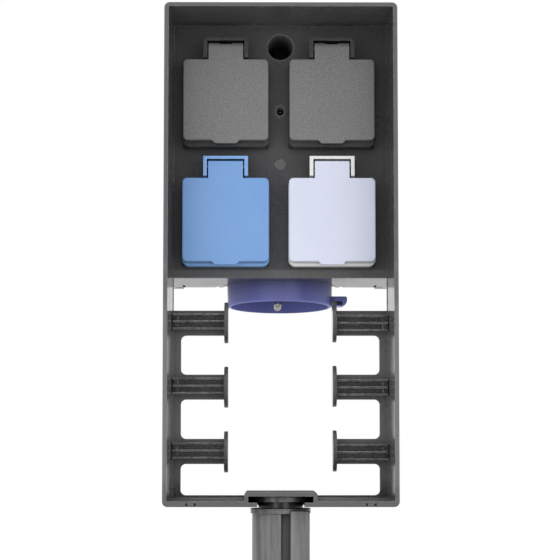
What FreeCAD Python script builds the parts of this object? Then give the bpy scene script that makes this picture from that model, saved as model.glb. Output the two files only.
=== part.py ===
"""Garden power post: a hooded housing with four lidded earthed sockets, a three-pin supply inlet
collar below and six arms for winding up a cable, slid onto the head of a ground spike.

Right is +X, back is +Y and up is +Z. The origin is on the spike's axis at ground level.
The housing's own pieces are drawn from the middle of its front rim's foot, where +Y is the depth
behind the rim, and each socket's pieces from the middle of its recess on the panel's front face.
"""
import FreeCAD, Part
import math
import os
import re

import Sketcher
from FreeCAD import Rotation, Vector

os.makedirs("parts", exist_ok=True)
doc = FreeCAD.newDocument("power_post")

# Sizes, in millimetres unless the note says otherwise. A formula ties a size to the others.
SIZES = {
    # fits
    "seat_gap": 0.3,            # between pieces that are lowered onto each other
    "slip_gap": 0.1,            # between pieces of one assembly that slide together
    "pin_gap": 0.04,            # radial running clearance on a hinge pin
    "overcut": 5,               # how far a cut runs past the face that it opens
    # front housing
    "rim_width": 130,
    "rim_height": "light_row + row_pitch + recess_radius + base_end + bracket_rise + hood_room",
    "hood_room": 13.2,          # above the upper brackets
    "panel_depth": 48,          # from the rim to the front of the panel
    "panel_thickness": 3,
    "tray_depth": "panel_depth + panel_thickness",
    "wall_slope": 0.021,        # draft of every wall of the tray, mm per mm of depth
    "side_wall": 2.5,
    "top_wall": 2.4,
    "floor_wall": 3.2,
    "corner_radius": 3,
    "rim_round": 0.9,
    "box_foot": 129.6,          # height of the box's underside above the rim's foot
    # lower frame
    "rail_top": 5.4,
    "strip_width": 8.2,         # from the housing's side to the windows
    "strip_reach": "rim_width/2 - strip_width",
    "web_length": 33.1,         # from the housing's side to the webs' inner ends
    "web_reach": "rim_width/2 - web_length",
    "web_height": 14.3,
    "window_radius": 3,
    "arm_first": 30.3,          # height of the lowest arm's centre
    "arm_pitch": 36.65,
    "notch_inset": 15.7,
    "notch_middle": "rim_width/2 - notch_inset",
    "notch_pitch": 4.6,
    "notch_width": 1.6,
    "notch_height": 2.2,
    "notch_depth": 2,
    # winding arms
    "disc_forward": 6,          # discs' centres in front of the panel's face
    "arm_middle_depth": "panel_depth - disc_forward",
    "arm_spine": 6,             # arm's floor between the ribs, in front of the web
    "rib_thickness": 1,
    "rib_pitch": 4.1,
    "rib_lift": 0.45,           # middle rib above the web's middle
    "rib_reach": 10.5,          # how far the ribs stand in front of the web
    "disc_radius": 11.65,
    "disc_drop": 0.25,          # discs' centres below the webs' middles
    "disc_thickness": 2.3,
    "disc_round": 0.4,
    "peg_radius": 1,
    "peg_height": 0.6,
    "peg_inset": 2,             # pegs' centres from the arm's root
    # spike slot and ground spike
    "slot_width": 35.7,
    "slot_wall": 2.15,
    "bracket_width": "slot_width + 2*slot_wall",
    "slot_floor": 2.4,
    "slot_height": 3.4,
    "slot_roof": 2.3,
    "bracket_height": "slot_floor + slot_height + slot_roof",
    "slot_corner": 1.5,
    "neck_radius": 12.5,
    "neck_gap": 0.5,
    "neck_slot_width": "2*(neck_radius + neck_gap)",
    "spike_depth": 25,          # spike axis behind the rim
    "housing_lift": 50,         # rim's foot above the ground
    "head_flank": 8,            # straight length of the head's sides
    "head_side_gap": 0.45,
    "stop_gap": 0.6,            # behind the head when the housing is home
    "slot_length": "spike_depth + head_flank/2 + slot_width/2 - head_side_gap + stop_gap",
    "flange_radius": 16.8,
    "flange_thickness": 2.7,
    "flange_drop": 1.2,         # flange below the rim's foot
    "post_radius": 15.9,
    "post_length": 62,
    "key_inner": 5.4,
    "key_front": 17,            # key's flat face in front of the spike's axis
    "groove_width": 5.3,        # groove beside the key
    "groove_front": 12.5,       # its floor in front of the spike's axis
    "blade_length": 178,
    "blade_thickness": 4.5,
    "blade_tip_width": 3,
    # rear cover
    "cover_seal_thickness": 1,
    "cover_inset": 1.1,         # cover's sides inside the rim's
    "cover_width": "rim_width - 2*cover_inset",
    "cover_top_inset": 1.8,
    "cover_top": "rim_height - cover_top_inset",
    "back_room": 0.4,           # between the inlet's gasket and the back wall
    "cover_back": "inlet_depth + inlet_half_depth + back_room + cover_wall",
    "cover_wall": 2.6,
    "cover_round": 2,
    "bevel_length": 19,
    "bevel_rise": 5,
    "column_radius": 5.5,
    "screw_drop": 3,            # centre screw below the dark sockets' middle
    "centre_screw_height": "light_row + row_pitch - screw_drop",
    "boss_length": 8,
    "cover_screw_radius": 1.6,
    "cover_screw_hole": 2.3,
    "cover_head_radius": 3.5,
    "cover_head_height": 2.6,
    "head_sink": 8,
    "well_drop": 16.1,          # hanging screw's well below the hood's top
    "well_height": "rim_height - well_drop",
    "well_radius": 7.4,
    "well_wall": 2.2,
    "hanging_hole_radius": 2.75,
    "lug_overhang": 1.6,        # lugs' sides past the rim's
    "lug_width": 8.2,
    "lug_outer": "rim_width/2 + lug_overhang",
    "lug_inner": "lug_outer - lug_width",
    "lug_setback": 16,          # lugs' front faces in front of the cover's back
    "lug_front": "cover_back - lug_setback",
    "lug_length": 9,
    "lug_height": 8,
    "fin_setback": 4,           # lugs' side fins behind the cover's front edge
    "drain_width": 1.5,
    "drain_length": 16,
    "arch_half": 39,            # shallow arch in the underside, behind the collar's middle
    "arch_slope": 6,
    "arch_rise": 2,
    "gate_lift": 34.6,          # moulding gate's mark above the lower sockets' middle
    "gate_height": "light_row + gate_lift",
    "gate_radius": 3.15,
    "gate_rise": 0.5,
    "ring_radius": 3.75,
    # sockets
    "column_shift": 2.1,        # columns nearer to the middle than each half's middle
    "column_pitch": "rim_width/2 - 2*column_shift",
    "column_offset": 0.9,       # both columns left of the middle
    "tube_room": 0.7,           # between the inlet's gasket and the lower sockets' tubes
    "light_row": "box_foot + inlet_seat + inlet_gasket + tube_room + tube_wall + recess_radius",
    "row_gap": 5.8,             # between the lower brackets and the upper bases
    "row_pitch": "2*(recess_radius + base_end) + bracket_rise + row_gap",
    "base_side": 5.9,           # base's reach past the recess, sideways and up or down
    "base_end": 6.2,
    "base_proud": 9.7,          # base's front face in front of the panel
    "base_corner": 4,
    "base_round": 0.8,
    "gasket_thickness": 1,
    "recess_radius": 19,
    "recess_length": 17.5,
    "tube_wall": 2.5,
    "tube_behind": 14,
    "fixing_pitch": "2*recess_radius",
    "fixing_radius": 1.45,
    "fixing_hole": 1.6,
    "fixing_head_radius": 2.9,
    "fixing_head_height": 1.6,
    "bracket_half": 12.8,
    "bracket_rise": 12.3,       # bracket's top above the base
    "leg_front": 2.7,           # bracket in front of the hinge's axis
    "bracket_proud": "lid_face - knuckle_radius + leg_front",
    "bracket_leg": 2.1,
    "bar_thickness": 1.7,
    "bracket_back": 4,
    "bracket_corner": 2.2,      # cut off the dark brackets' upper corners
    "leg_relief": 1,            # cut off the legs' feet, where the lid's shoulder swings past
    "pin_radius": 1.2,
    # lids
    "lid_gap": 0.4,             # between the lid's rim and the base
    "lid_face": "base_proud + lid_gap + lid_thickness",
    "lid_thickness": 4.9,
    "lid_skin": 2,
    "lid_wall": 1.8,
    "lid_corner": 2.6,
    "lid_round": 0.7,
    "dark_side_gap": 2.6,       # from the seal to the lid's walls
    "dark_foot_gap": 0.1,
    "dark_tongue_rise": 9.5,    # tongue's top above the base
    "dark_tongue_round": 3,
    "light_side_gap": 2.9,
    "light_foot_gap": 1.2,
    "light_tongue_rise": 9.5,
    "light_tongue_round": 1,
    "tongue_gap": 0.8,          # on each side of the tongue in its bracket
    "tongue_half": "bracket_half - bracket_leg - tongue_gap",
    "knuckle_radius": 3.2,
    "tab_top_half": 7.8,
    "tab_bottom_half": 6,
    "tab_drop": 1.8,
    "tab_thickness": 3,
    "spring_half": 3.3,
    "spring_room": 0.4,         # at each end of the coil in its slot
    "spring_slot_half": "spring_half + spring_room",
    "spring_gap": 0.2,          # between the pin and the coil
    "spring_wire": 0.7,
    "spring_radius": "pin_radius + spring_gap + spring_wire",
    "spring_leg": 4.6,          # legs' ends below the pin
    "spring_skin": 0.9,
    "seal_land": 1,             # seal's reach past the recess's edge
    "seal_width": 1.6,
    # contacts
    "carrier_flange_length": 4,
    "pole_pitch": 19,
    "pole_hole_radius": 2.6,
    "pole_hole_length": 3,
    "clip_width": 7.2,
    "clip_height": 9,
    "clip_bore": 2.3,
    "tail_length": 2.5,
    "tail_width": 3.6,
    "tail_height": 3,
    "earth_width": 6,
    "earth_thickness": 0.8,
    "earth_inset": 0.6,         # strip's outer face inside the recess's wall
    "earth_reach": "recess_radius - earth_inset",
    "earth_nose": 1.3,
    "nose_tip": 4,              # nose behind the base's face: its tip, its peak and its end
    "nose_peak": 6.4,
    "nose_end": 9.6,
    # supply inlet
    "collar_room": 0.7,         # between the sockets' carriers and the collar
    "inlet_depth": "panel_depth + tube_behind + carrier_flange_length + collar_room + collar_radius",
    "collar_radius": 31.45,
    "collar_wall": 2.4,
    "collar_draft": 0.03,       # mm per mm below the underside
    "lip_front": 11.6,          # lip below the underside at the front and at the back
    "lip_back": 15.1,
    "lip_round": 1.2,
    "collar_inside": 28.8,
    "collar_floor": 3,
    "inlet_seat": 8,            # top of the inlet's seat above the underside
    "inlet_gasket": 1,
    "gasket_rim": 1.7,          # seat and gasket past the collar, front and back
    "inlet_half_depth": "collar_radius + gasket_rim",
    "inlet_flange": 3.4,
    "inlet_flange_trim": 2,     # flange stops short of the gasket's front and back edges
    "flange_end": 4.4,          # flange past its screws
    "inlet_half_width": "inlet_screw_x + flange_end",
    "inlet_screw_x": 32.6,
    "inlet_screw_y": 27.6,
    "inlet_screw_radius": 1.6,
    "inlet_head_radius": 3,
    "inlet_head_height": 2.2,
    "inlet_screw_bite": 7,
    "catch_length": 8.7,        # catch past the collar
    "catch_outer": "collar_radius + catch_length",
    "catch_half": 6,
    "catch_top": 7.2,
    "catch_height": 5.8,
    "catch_round": 1,           # its outer edge, above
    "catch_belly": 3.5,         # its outer edge, below
    "catch_slot_start": 0.2,    # slot in its front, past the collar
    "catch_slot_length": 5.7,
    "catch_slot_height": 2.1,
    "catch_slot_depth": 4,
    "catch_skin": 0.8,          # under the slot
    "inlet_carrier_radius": 19.7,
    "inlet_carrier_drop": 5,
    "inlet_cap_radius": 24,
    "inlet_cap_height": 4,
    "pole_circle": 9.2,
    "pole_angle": 98,           # degrees from the earth pin to each of the others
    "inlet_pin_radius": 2.4,
    "earth_pin_radius": 2.7,
    "pin_shoulder": 1.5,        # shoulder past the pin's side
    "shoulder_height": 2,
    "pole_tip_rise": 0.2,       # tips above the lip's lowest point
    "earth_tip_rise": 7,
    "pin_tail": 6,
    # wiring
    "block_half": 20,
    "block_height": 16,
    "block_thickness": 16,
    "block_rise": 58.4,         # terminal block above the box's underside
    "block_foot": "box_foot + block_rise",
    "lead_radius": 3.4,
    "lead_back": 82,            # depth at which the leads turn towards the block
    "lead_bend": 14,
    "core_radius": 1.6,
    "core_bend": 7,
}

sheet = doc.addObject("Spreadsheet::Sheet", "sizes")
for row, alias in enumerate(SIZES, start=1):
    sheet.set("A%d" % row, alias)
    sheet.setAlias("B%d" % row, alias)
for row, value in enumerate(SIZES.values(), start=1):
    sheet.set("B%d" % row, "=" + value if isinstance(value, str) else str(value))
doc.recompute()

made = []


def bound(formula):
    """The formula with each size pointing at its cell of the sheet."""
    def cell(word):
        return "sizes." + word[0] if word[0] in SIZES else word[0]

    return re.sub("[a-z][a-z_]*", cell, formula)


def size(formula):
    """What a formula of sizes comes to."""
    return float(sheet.evalExpression(bound(formula)))


def new_body(name):
    body = doc.addObject("PartDesign::Body", name)
    body.Label = name
    return body


def on_plane(body, role, offset):
    """A sketch on one of the body's own origin planes, moved along the plane's normal."""
    sketch = body.newObject("Sketcher::SketchObject", body.Name + "_sketch")
    plane = [feature for feature in body.Origin.OriginFeatures if feature.Role == role][0]
    sketch.AttachmentSupport = [(plane, "")]
    sketch.MapMode = "FlatFace"
    sketch.setExpression(".AttachmentOffset.Base.z", bound(offset))
    return sketch


def front_sketch(body, depth):
    """Seen from the front: x is X and y is Z, at this depth."""
    return on_plane(body, "XZ_Plane", "-(%s)" % depth)


def side_sketch(body, across):
    """Seen from the right: x is Y and y is Z, at this X."""
    return on_plane(body, "YZ_Plane", across)


def plan_sketch(body, height):
    """Seen from above: x is X and y is Y, at this height."""
    return on_plane(body, "XY_Plane", height)


def bind(sketch, kind, places, formula):
    """One dimension of the sketch, held by a formula of sizes."""
    index = sketch.addConstraint(Sketcher.Constraint(kind, *places, size(formula)))
    sketch.setExpression("Constraints[%d]" % index, bound(formula))


def outline(sketch, corners):
    """A closed outline of straight edges, each corner a pair of formulas."""
    points = [Vector(size(x), size(y), 0) for x, y in corners]
    first = sketch.GeometryCount
    count = len(points)
    for i in range(count):
        sketch.addGeometry(Part.LineSegment(points[i], points[(i + 1) % count]))
    for i in range(count):
        sketch.addConstraint(
            Sketcher.Constraint("Coincident", first + i, 2, first + (i + 1) % count, 1)
        )
    for i, (x, y) in enumerate(corners):
        bind(sketch, "DistanceX", (-1, 1, first + i, 1), x)
        bind(sketch, "DistanceY", (-1, 1, first + i, 1), y)
    return sketch


def rectangle(sketch, left, bottom, right, top):
    return outline(sketch, [(left, bottom), (right, bottom), (right, top), (left, top)])


def circle(sketch, x, y, radius):
    ring = sketch.addGeometry(Part.Circle(Vector(size(x), size(y), 0), Vector(0, 0, 1), size(radius)))
    bind(sketch, "DistanceX", (-1, 1, ring, 3), x)
    bind(sketch, "DistanceY", (-1, 1, ring, 3), y)
    bind(sketch, "Radius", (ring,), radius)
    return sketch


def extruded(body, kind, sketch, length, towards_back, draft):
    feature = body.newObject("PartDesign::" + kind, body.Name + "_" + kind.lower())
    feature.Profile = sketch
    feature.Reversed = towards_back
    feature.setExpression("Length", bound(length))
    if draft:
        feature.setExpression("TaperAngle", bound("-atan(%s)" % draft))
    sketch.Visibility = False
    return feature


def pad(body, sketch, length, back=False, draft=None):
    """Material from the sketch along its normal, or the other way with back."""
    extruded(body, "Pad", sketch, length, back, draft)
    doc.recompute()


def pocket(body, sketch, length, back=False, draft=None):
    """A cut from the sketch against its normal, or along it with back; it has to remove something."""
    before = body.Shape.Volume
    extruded(body, "Pocket", sketch, length, back, draft)
    doc.recompute()
    if body.Shape.Volume > before - 0.001:
        raise RuntimeError("a pocket of %s cuts nothing" % body.Label)


def fillet(body, radius, wanted):
    """Round the edges of the body for which wanted says yes."""
    sharp = body.Tip
    names = ["Edge%d" % (i + 1) for i, edge in enumerate(sharp.Shape.Edges) if wanted(edge)]
    if not names:
        raise RuntimeError("no edge of %s to round" % body.Label)
    feature = body.newObject("PartDesign::Fillet", body.Name + "_fillet")
    feature.Base = (sharp, names)
    feature.setExpression("Radius", bound(radius))
    doc.recompute()


def runs_along(edge, axis):
    """True where a straight edge runs along X, Y or Z, apart from the walls' draft."""
    if len(edge.Vertexes) != 2:
        return False
    step = edge.Vertexes[1].Point - edge.Vertexes[0].Point
    return abs(step[axis]) > 0.99 * edge.Length


def at(value, formula, near=0.05):
    return abs(value - size(formula)) < near


def place(piece, x, y, z):
    """Put a piece down in the post's frame and keep it for export."""
    piece.setExpression("Placement.Base.x", bound(x))
    piece.setExpression("Placement.Base.y", bound(y))
    piece.setExpression("Placement.Base.z", bound(z))
    made.append(piece)


def place_in_housing(piece):
    place(piece, "0", "-spike_depth", "housing_lift")


def put_at(piece, start):
    """Move a plain solid to three formulas."""
    for letter, formula in zip("xyz", start):
        piece.setExpression("Placement.Base.%s" % letter, bound(formula))


def rod(name, axis, start, length, radius):
    """A round bar that starts at three formulas and runs along an axis."""
    bar = doc.addObject("Part::Cylinder", name)
    bar.setExpression("Radius", bound(radius))
    bar.setExpression("Height", bound(length))
    put_at(bar, start)
    bar.Placement.Rotation = Rotation(Vector(0, 0, 1), axis)
    return bar


def joined(name, pieces):
    whole = doc.addObject("Part::MultiFuse", name)
    whole.Shapes = pieces
    return whole


def grouped(name, pieces):
    """Separate solids that share one node."""
    group = doc.addObject("Part::Compound", name)
    group.Links = pieces
    group.Label = name
    return group


RIGHT = Vector(1, 0, 0)
BACK = Vector(0, 1, 0)
UP = Vector(0, 0, 1)
SIDES = {"left": "-", "right": ""}
SOCKETS = {
    "dark_left": ("-column_pitch/2 - column_offset", "light_row + row_pitch", "dark"),
    "dark_right": ("column_pitch/2 - column_offset", "light_row + row_pitch", "dark"),
    "blue": ("-column_pitch/2 - column_offset", "light_row", "light"),
    "grey": ("column_pitch/2 - column_offset", "light_row", "light"),
}
BASE_HALF = "(recess_radius + base_side)"
BASE_TOP = "(recess_radius + base_end)"
RECESS_END = "(recess_length - base_proud)"
CARRIER_STEP = "(tube_behind + slip_gap)"
CARRIER_BACK = "(tube_behind + slip_gap + carrier_flange_length)"
COLUMN_INSET = "cover_wall + column_radius + seat_gap"
COVER_SCREWS = [
    (x, z)
    for x in ("-cover_width/2 + " + COLUMN_INSET, "cover_width/2 - (%s)" % COLUMN_INSET)
    for z in ("box_foot + " + COLUMN_INSET, "cover_top - (%s)" % COLUMN_INSET)
]
COVER_SCREWS.append(("0", "centre_screw_height"))
FIXINGS = [
    (x, z) for x in ("-fixing_pitch/2", "fixing_pitch/2") for z in ("-fixing_pitch/2", "fixing_pitch/2")
]
INLET_SCREWS = [
    (x, y) for x in ("-inlet_screw_x", "inlet_screw_x") for y in ("-inlet_screw_y", "inlet_screw_y")
]


def make_front_housing():
    """Hood, socket panel, lower frame and spike slot, moulded in one with draft on every wall."""
    body = new_body("front_housing")
    tray = rectangle(front_sketch(body, "0"), "-rim_width/2", "0", "rim_width/2", "rim_height")
    pad(body, tray, "tray_depth", back=True, draft="wall_slope")

    def long_corner(edge):
        return runs_along(edge, 1)

    fillet(body, "corner_radius", long_corner)

    def on_rim(edge):
        return edge.BoundBox.YMax < 0.01

    fillet(body, "rim_round", on_rim)
    cavity = rectangle(
        front_sketch(body, "0"),
        "-rim_width/2 + side_wall",
        "floor_wall",
        "rim_width/2 - side_wall",
        "rim_height - top_wall",
    )
    pocket(body, cavity, "panel_depth", draft="wall_slope")
    cut_lower_frame(body)
    add_spike_slot(body)
    cut_panel(body)
    place_in_housing(body)


def cut_lower_frame(body):
    """The open middle, the gap above the arms and three rows of windows between their webs."""
    plate = "tray_depth - panel_depth + 2*overcut"
    behind = "panel_depth - overcut"
    inner_wall = "(rim_width/2 - side_wall - wall_slope*panel_depth - seat_gap)"
    top_web = "(arm_first + 2*arm_pitch + web_height/2)"
    middle = rectangle(front_sketch(body, behind), "-web_reach", "rail_top", "web_reach", "box_foot")
    pocket(body, middle, plate)
    for sign in SIDES.values():
        inner = sign + "web_reach"
        gap = rectangle(front_sketch(body, behind), inner, top_web, sign + inner_wall, "box_foot")
        pocket(body, gap, plate)
    for level in range(3):
        foot = "rail_top" if level == 0 else "(arm_first + %d*arm_pitch + web_height/2)" % (level - 1)
        top = "(arm_first + %d*arm_pitch - web_height/2)" % level
        window = rectangle(front_sketch(body, behind), "-strip_reach", foot, "strip_reach", top)
        pocket(body, window, plate)

    def window_corner(edge):
        return runs_along(edge, 1) and at(abs(edge.CenterOfMass.x), "strip_reach")

    fillet(body, "window_radius", window_corner)
    for side in (-1, 1):
        for place_in_pair in (-1, 1):
            middle = "(%d*notch_middle + %d*notch_pitch/2)" % (side, place_in_pair)
            notch = rectangle(
                front_sketch(body, "0"),
                middle + " - notch_width/2",
                "0",
                middle + " + notch_width/2",
                "notch_height",
            )
            pocket(body, notch, "notch_depth")


def add_spike_slot(body):
    """A T-shaped slot across the foot, open to the front, that slides onto the spike's head."""
    bracket = rectangle(front_sketch(body, "0"), "-bracket_width/2", "0", "bracket_width/2", "bracket_height")
    pad(body, bracket, "tray_depth", back=True)

    def upper_corner(edge):
        middle = edge.CenterOfMass
        return runs_along(edge, 1) and at(middle.z, "bracket_height") and at(abs(middle.x), "bracket_width/2")

    fillet(body, "slot_corner", upper_corner)
    slot_top = "slot_floor + slot_height"
    slot = rectangle(front_sketch(body, "-overcut"), "-slot_width/2", "slot_floor", "slot_width/2", slot_top)
    pocket(body, slot, "slot_length + overcut")
    neck = rectangle(
        front_sketch(body, "-overcut"), "-neck_slot_width/2", "-overcut", "neck_slot_width/2", "slot_floor"
    )
    pocket(body, neck, "slot_length + overcut")


def cut_panel(body):
    """Bosses for the cover's screws, and the panel's holes."""
    bosses = front_sketch(body, "tray_depth")
    for x, z in COVER_SCREWS:
        circle(bosses, x, z, "column_radius - slip_gap")
    pad(body, bosses, "boss_length", back=True)
    marks = front_sketch(body, "panel_depth")
    circle(marks, "0", "gate_height", "gate_radius")
    circle(marks, "0", "centre_screw_height", "ring_radius")
    pad(body, marks, "gate_rise")
    pilots = front_sketch(body, "tray_depth + boss_length")
    for x, z in COVER_SCREWS:
        circle(pilots, x, z, "cover_screw_radius + slip_gap")
    pocket(body, pilots, "boss_length", back=True)
    holes = front_sketch(body, "panel_depth - overcut")
    circle(holes, "0", "well_height", "well_radius")
    circle(holes, "0", "centre_screw_height", "cover_screw_hole")
    for x, z, _kind in SOCKETS.values():
        circle(holes, x, z, "recess_radius + tube_wall + seat_gap")
        for dx, dz in FIXINGS:
            circle(holes, "%s + %s" % (x, dx), "%s + %s" % (z, dz), "fixing_radius + slip_gap")
    pocket(body, holes, "overcut + tray_depth - panel_depth")


def make_winding_arms():
    """Six ribbed arms with end discs, each pressed onto a web of the lower frame."""
    for side, sign in SIDES.items():
        for level in range(3):
            body = new_body("winding_arm_%s_%d" % (side, level + 1))
            root = "(-rim_width/2 + side_wall + wall_slope*panel_depth + seat_gap)"
            face = "panel_depth"
            spine = "(panel_depth - arm_spine)"
            tip = "(panel_depth - rib_reach)"
            comb = []
            for step in (-1, 0, 1):
                low = "rib_lift + %d*rib_pitch - rib_thickness/2" % step
                high = "rib_lift + %d*rib_pitch + rib_thickness/2" % step
                comb += [(spine, low), (tip, low), (tip, high), (spine, high)]
            profile = outline(side_sketch(body, root), comb[1:-1] + [(face, high), (face, comb[0][1])])
            pad(body, profile, "-%s - web_reach" % root)
            disc = circle(side_sketch(body, "-web_reach"), "arm_middle_depth", "-disc_drop", "disc_radius")
            pad(body, disc, "disc_thickness")

            def disc_edge(edge):
                return edge.Curve.TypeId == "Part::GeomCircle" and at(edge.Curve.Radius, "disc_radius")

            fillet(body, "disc_round", disc_edge)
            pegs = front_sketch(body, spine)
            for step in (-1, 1):
                circle(pegs, root + " + peg_inset", "rib_lift + %d*rib_pitch/2" % step, "peg_radius")
            pad(body, pegs, "peg_height")
            if side == "right":
                body.Placement.Rotation = Rotation(BACK, 180)
            place(body, "0", "-spike_depth", "housing_lift + arm_first + %d*arm_pitch" % level)


def make_ground_spike():
    """A head with straight flanks on a round neck, a flange, a post with a key and a groove, and a
    cross-shaped blade."""
    body = new_body("ground_spike")
    head_radius = "(slot_width/2 - head_side_gap)"
    head_foot = "slot_floor + seat_gap"
    head_thickness = "slot_height - 2*seat_gap"
    flat = rectangle(
        plan_sketch(body, head_foot),
        "-" + head_radius,
        "-head_flank/2 - " + head_radius,
        head_radius,
        "head_flank/2 + " + head_radius,
    )
    pad(body, flat, head_thickness)

    def upright(edge):
        return runs_along(edge, 2)

    fillet(body, head_radius + " - slip_gap", upright)
    neck = circle(plan_sketch(body, "-flange_drop - flange_thickness/2"), "0", "0", "neck_radius")
    pad(body, neck, "flange_drop + flange_thickness/2 + slot_floor + slot_height/2")
    flange = circle(plan_sketch(body, "-flange_drop - flange_thickness"), "0", "0", "flange_radius")
    pad(body, flange, "flange_thickness")
    foot = "-flange_drop - flange_thickness - post_length"
    pad(body, circle(plan_sketch(body, foot), "0", "0", "post_radius"), "post_length + flange_thickness/2")
    key = rectangle(plan_sketch(body, foot), "key_inner", "-key_front", "post_radius", "0")
    pad(body, key, "post_length + flange_thickness/2")
    groove = rectangle(
        plan_sketch(body, "-flange_drop - flange_thickness"),
        "key_inner - groove_width",
        "-key_front - overcut",
        "key_inner",
        "-groove_front",
    )
    pocket(body, groove, "post_length")
    tip = "(%s - blade_length)" % foot
    blade = [
        ("-post_radius", foot + " + flange_thickness"),
        ("-post_radius", foot),
        ("-blade_tip_width/2", tip),
        ("blade_tip_width/2", tip),
        ("post_radius", foot),
        ("post_radius", foot + " + flange_thickness"),
    ]
    pad(body, outline(front_sketch(body, "-blade_thickness/2"), blade), "blade_thickness", back=True)
    pad(body, outline(side_sketch(body, "-blade_thickness/2"), blade), "blade_thickness")
    place(body, "0", "0", "housing_lift")


def make_rear_cover():
    """The deep box behind the panel, with its screw columns, hanging-screw well and inlet seat."""
    body = new_body("rear_cover")
    front = "(tray_depth + cover_seal_thickness)"
    inner_back = "(cover_back - cover_wall)"
    inner_foot = "(box_foot + cover_wall)"
    shell = [
        (front, "box_foot"),
        ("cover_back - bevel_length", "box_foot"),
        ("cover_back", "box_foot + bevel_rise"),
        ("cover_back", "cover_top"),
        (front, "cover_top"),
    ]
    pad(body, outline(side_sketch(body, "-cover_width/2"), shell), "cover_width")

    def back_edge(edge):
        box = edge.BoundBox
        on_back = at(box.YMax, "cover_back") and at(box.YMin, "cover_back")
        return on_back and box.ZMax > size("box_foot + 2*bevel_rise")

    fillet(body, "cover_round", back_edge)
    hollow = [
        (front + " - overcut", inner_foot),
        ("cover_back - bevel_length", inner_foot),
        (inner_back, inner_foot + " + bevel_rise"),
        (inner_back, "cover_top - cover_wall"),
        (front + " - overcut", "cover_top - cover_wall"),
    ]
    space = outline(side_sketch(body, "-cover_width/2 + cover_wall"), hollow)
    pocket(body, space, "cover_width - 2*cover_wall", back=True)
    seat = rectangle(
        plan_sketch(body, "box_foot + cover_wall/2"),
        "-inlet_half_width",
        "inlet_depth - inlet_half_depth",
        "inlet_half_width",
        inner_back + " + cover_wall/2",
    )
    pad(body, seat, "inlet_seat - cover_wall/2")
    columns = front_sketch(body, "tray_depth + boss_length + slip_gap")
    for x, z in COVER_SCREWS:
        circle(columns, x, z, "column_radius")
    pad(body, columns, "cover_back - tray_depth - boss_length - slip_gap - cover_wall/2", back=True)
    well = circle(front_sketch(body, "tray_depth + seat_gap"), "0", "well_height", "well_radius + well_wall")
    pad(body, well, "cover_back - tray_depth - seat_gap - cover_wall/2", back=True)
    lugs = front_sketch(body, "lug_front")
    rectangle(lugs, "-lug_outer", "box_foot", "-lug_inner", "box_foot + lug_height")
    rectangle(lugs, "lug_inner", "box_foot", "lug_outer", "box_foot + lug_height")
    pad(body, lugs, "lug_length", back=True)
    fin_front = "(%s + fin_setback)" % front
    fins = front_sketch(body, fin_front)
    for sign in SIDES.values():
        inner = sign + "(cover_width/2 - cover_wall/2)"
        rectangle(fins, inner, "box_foot", sign + "lug_outer", "box_foot + lug_height")
    pad(body, fins, "lug_front + lug_length - %s" % fin_front, back=True)
    cut_rear_cover(body, inner_back)
    place_in_housing(body)


def cut_rear_cover(body, inner_back):
    """Bores for the screws, the hanging screw and the inlet's collar, the arch and the drains."""
    well = circle(front_sketch(body, "tray_depth - overcut"), "0", "well_height", "well_radius")
    pocket(body, well, "%s - tray_depth + overcut" % inner_back)
    bores = front_sketch(body, "tray_depth")
    circle(bores, "0", "well_height", "hanging_hole_radius")
    for x, z in COVER_SCREWS:
        circle(bores, x, z, "cover_screw_hole")
    pocket(body, bores, "cover_back - tray_depth + overcut")
    sinks = front_sketch(body, "cover_back - head_sink")
    for x, z in COVER_SCREWS:
        circle(sinks, x, z, "cover_head_radius + seat_gap")
    pocket(body, sinks, "head_sink + overcut")
    collar = circle(plan_sketch(body, "box_foot - overcut"), "0", "inlet_depth", "collar_radius + seat_gap")
    pocket(body, collar, "inlet_seat + 2*overcut", back=True)
    pilots = plan_sketch(body, "box_foot + inlet_seat")
    for x, y in INLET_SCREWS:
        circle(pilots, x, "inlet_depth + %s" % y, "inlet_screw_radius + slip_gap")
    pocket(body, pilots, "inlet_seat - cover_wall/2")
    arch = [
        ("-arch_half", "box_foot"),
        ("-arch_half - arch_slope", "box_foot - arch_rise"),
        ("arch_half + arch_slope", "box_foot - arch_rise"),
        ("arch_half", "box_foot"),
        ("arch_half - arch_slope", "box_foot + arch_rise"),
        ("-arch_half + arch_slope", "box_foot + arch_rise"),
    ]
    pocket(body, outline(front_sketch(body, "inlet_depth"), arch), "cover_back - inlet_depth + overcut")
    drains = plan_sketch(body, "box_foot")
    for sign in SIDES.values():
        rectangle(
            drains,
            sign + "(lug_inner - drain_width)",
            "cover_back - bevel_length - drain_length",
            sign + "lug_inner",
            "cover_back - bevel_length",
        )
    pocket(body, drains, "cover_wall + slip_gap", back=True)


def make_cover_seal():
    """A flat rubber frame between the panel's back and the rear cover's front edge."""
    body = new_body("cover_seal")
    sketch = front_sketch(body, "tray_depth")
    rectangle(sketch, "-cover_width/2", "box_foot", "cover_width/2", "cover_top")
    rectangle(
        sketch,
        "-cover_width/2 + cover_wall",
        "box_foot + cover_wall",
        "cover_width/2 - cover_wall",
        "cover_top - cover_wall",
    )
    pad(body, sketch, "cover_seal_thickness", back=True)
    place_in_housing(body)


def make_cover_screws():
    """Five long screws from the back, one through each column into its boss."""
    screws = []
    for number, (x, z) in enumerate(COVER_SCREWS, start=1):
        seat = "(cover_back - head_sink)"
        shank = rod(
            "cover_shank_%d" % number,
            BACK,
            (x, "tray_depth + slip_gap", z),
            "%s - tray_depth" % seat,
            "cover_screw_radius",
        )
        head = rod("cover_head_%d" % number, BACK, (x, seat, z), "cover_head_height", "cover_head_radius")
        screws.append(joined("cover_screw_%d" % number, [shank, head]))
    place_in_housing(grouped("cover_screws", screws))


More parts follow.
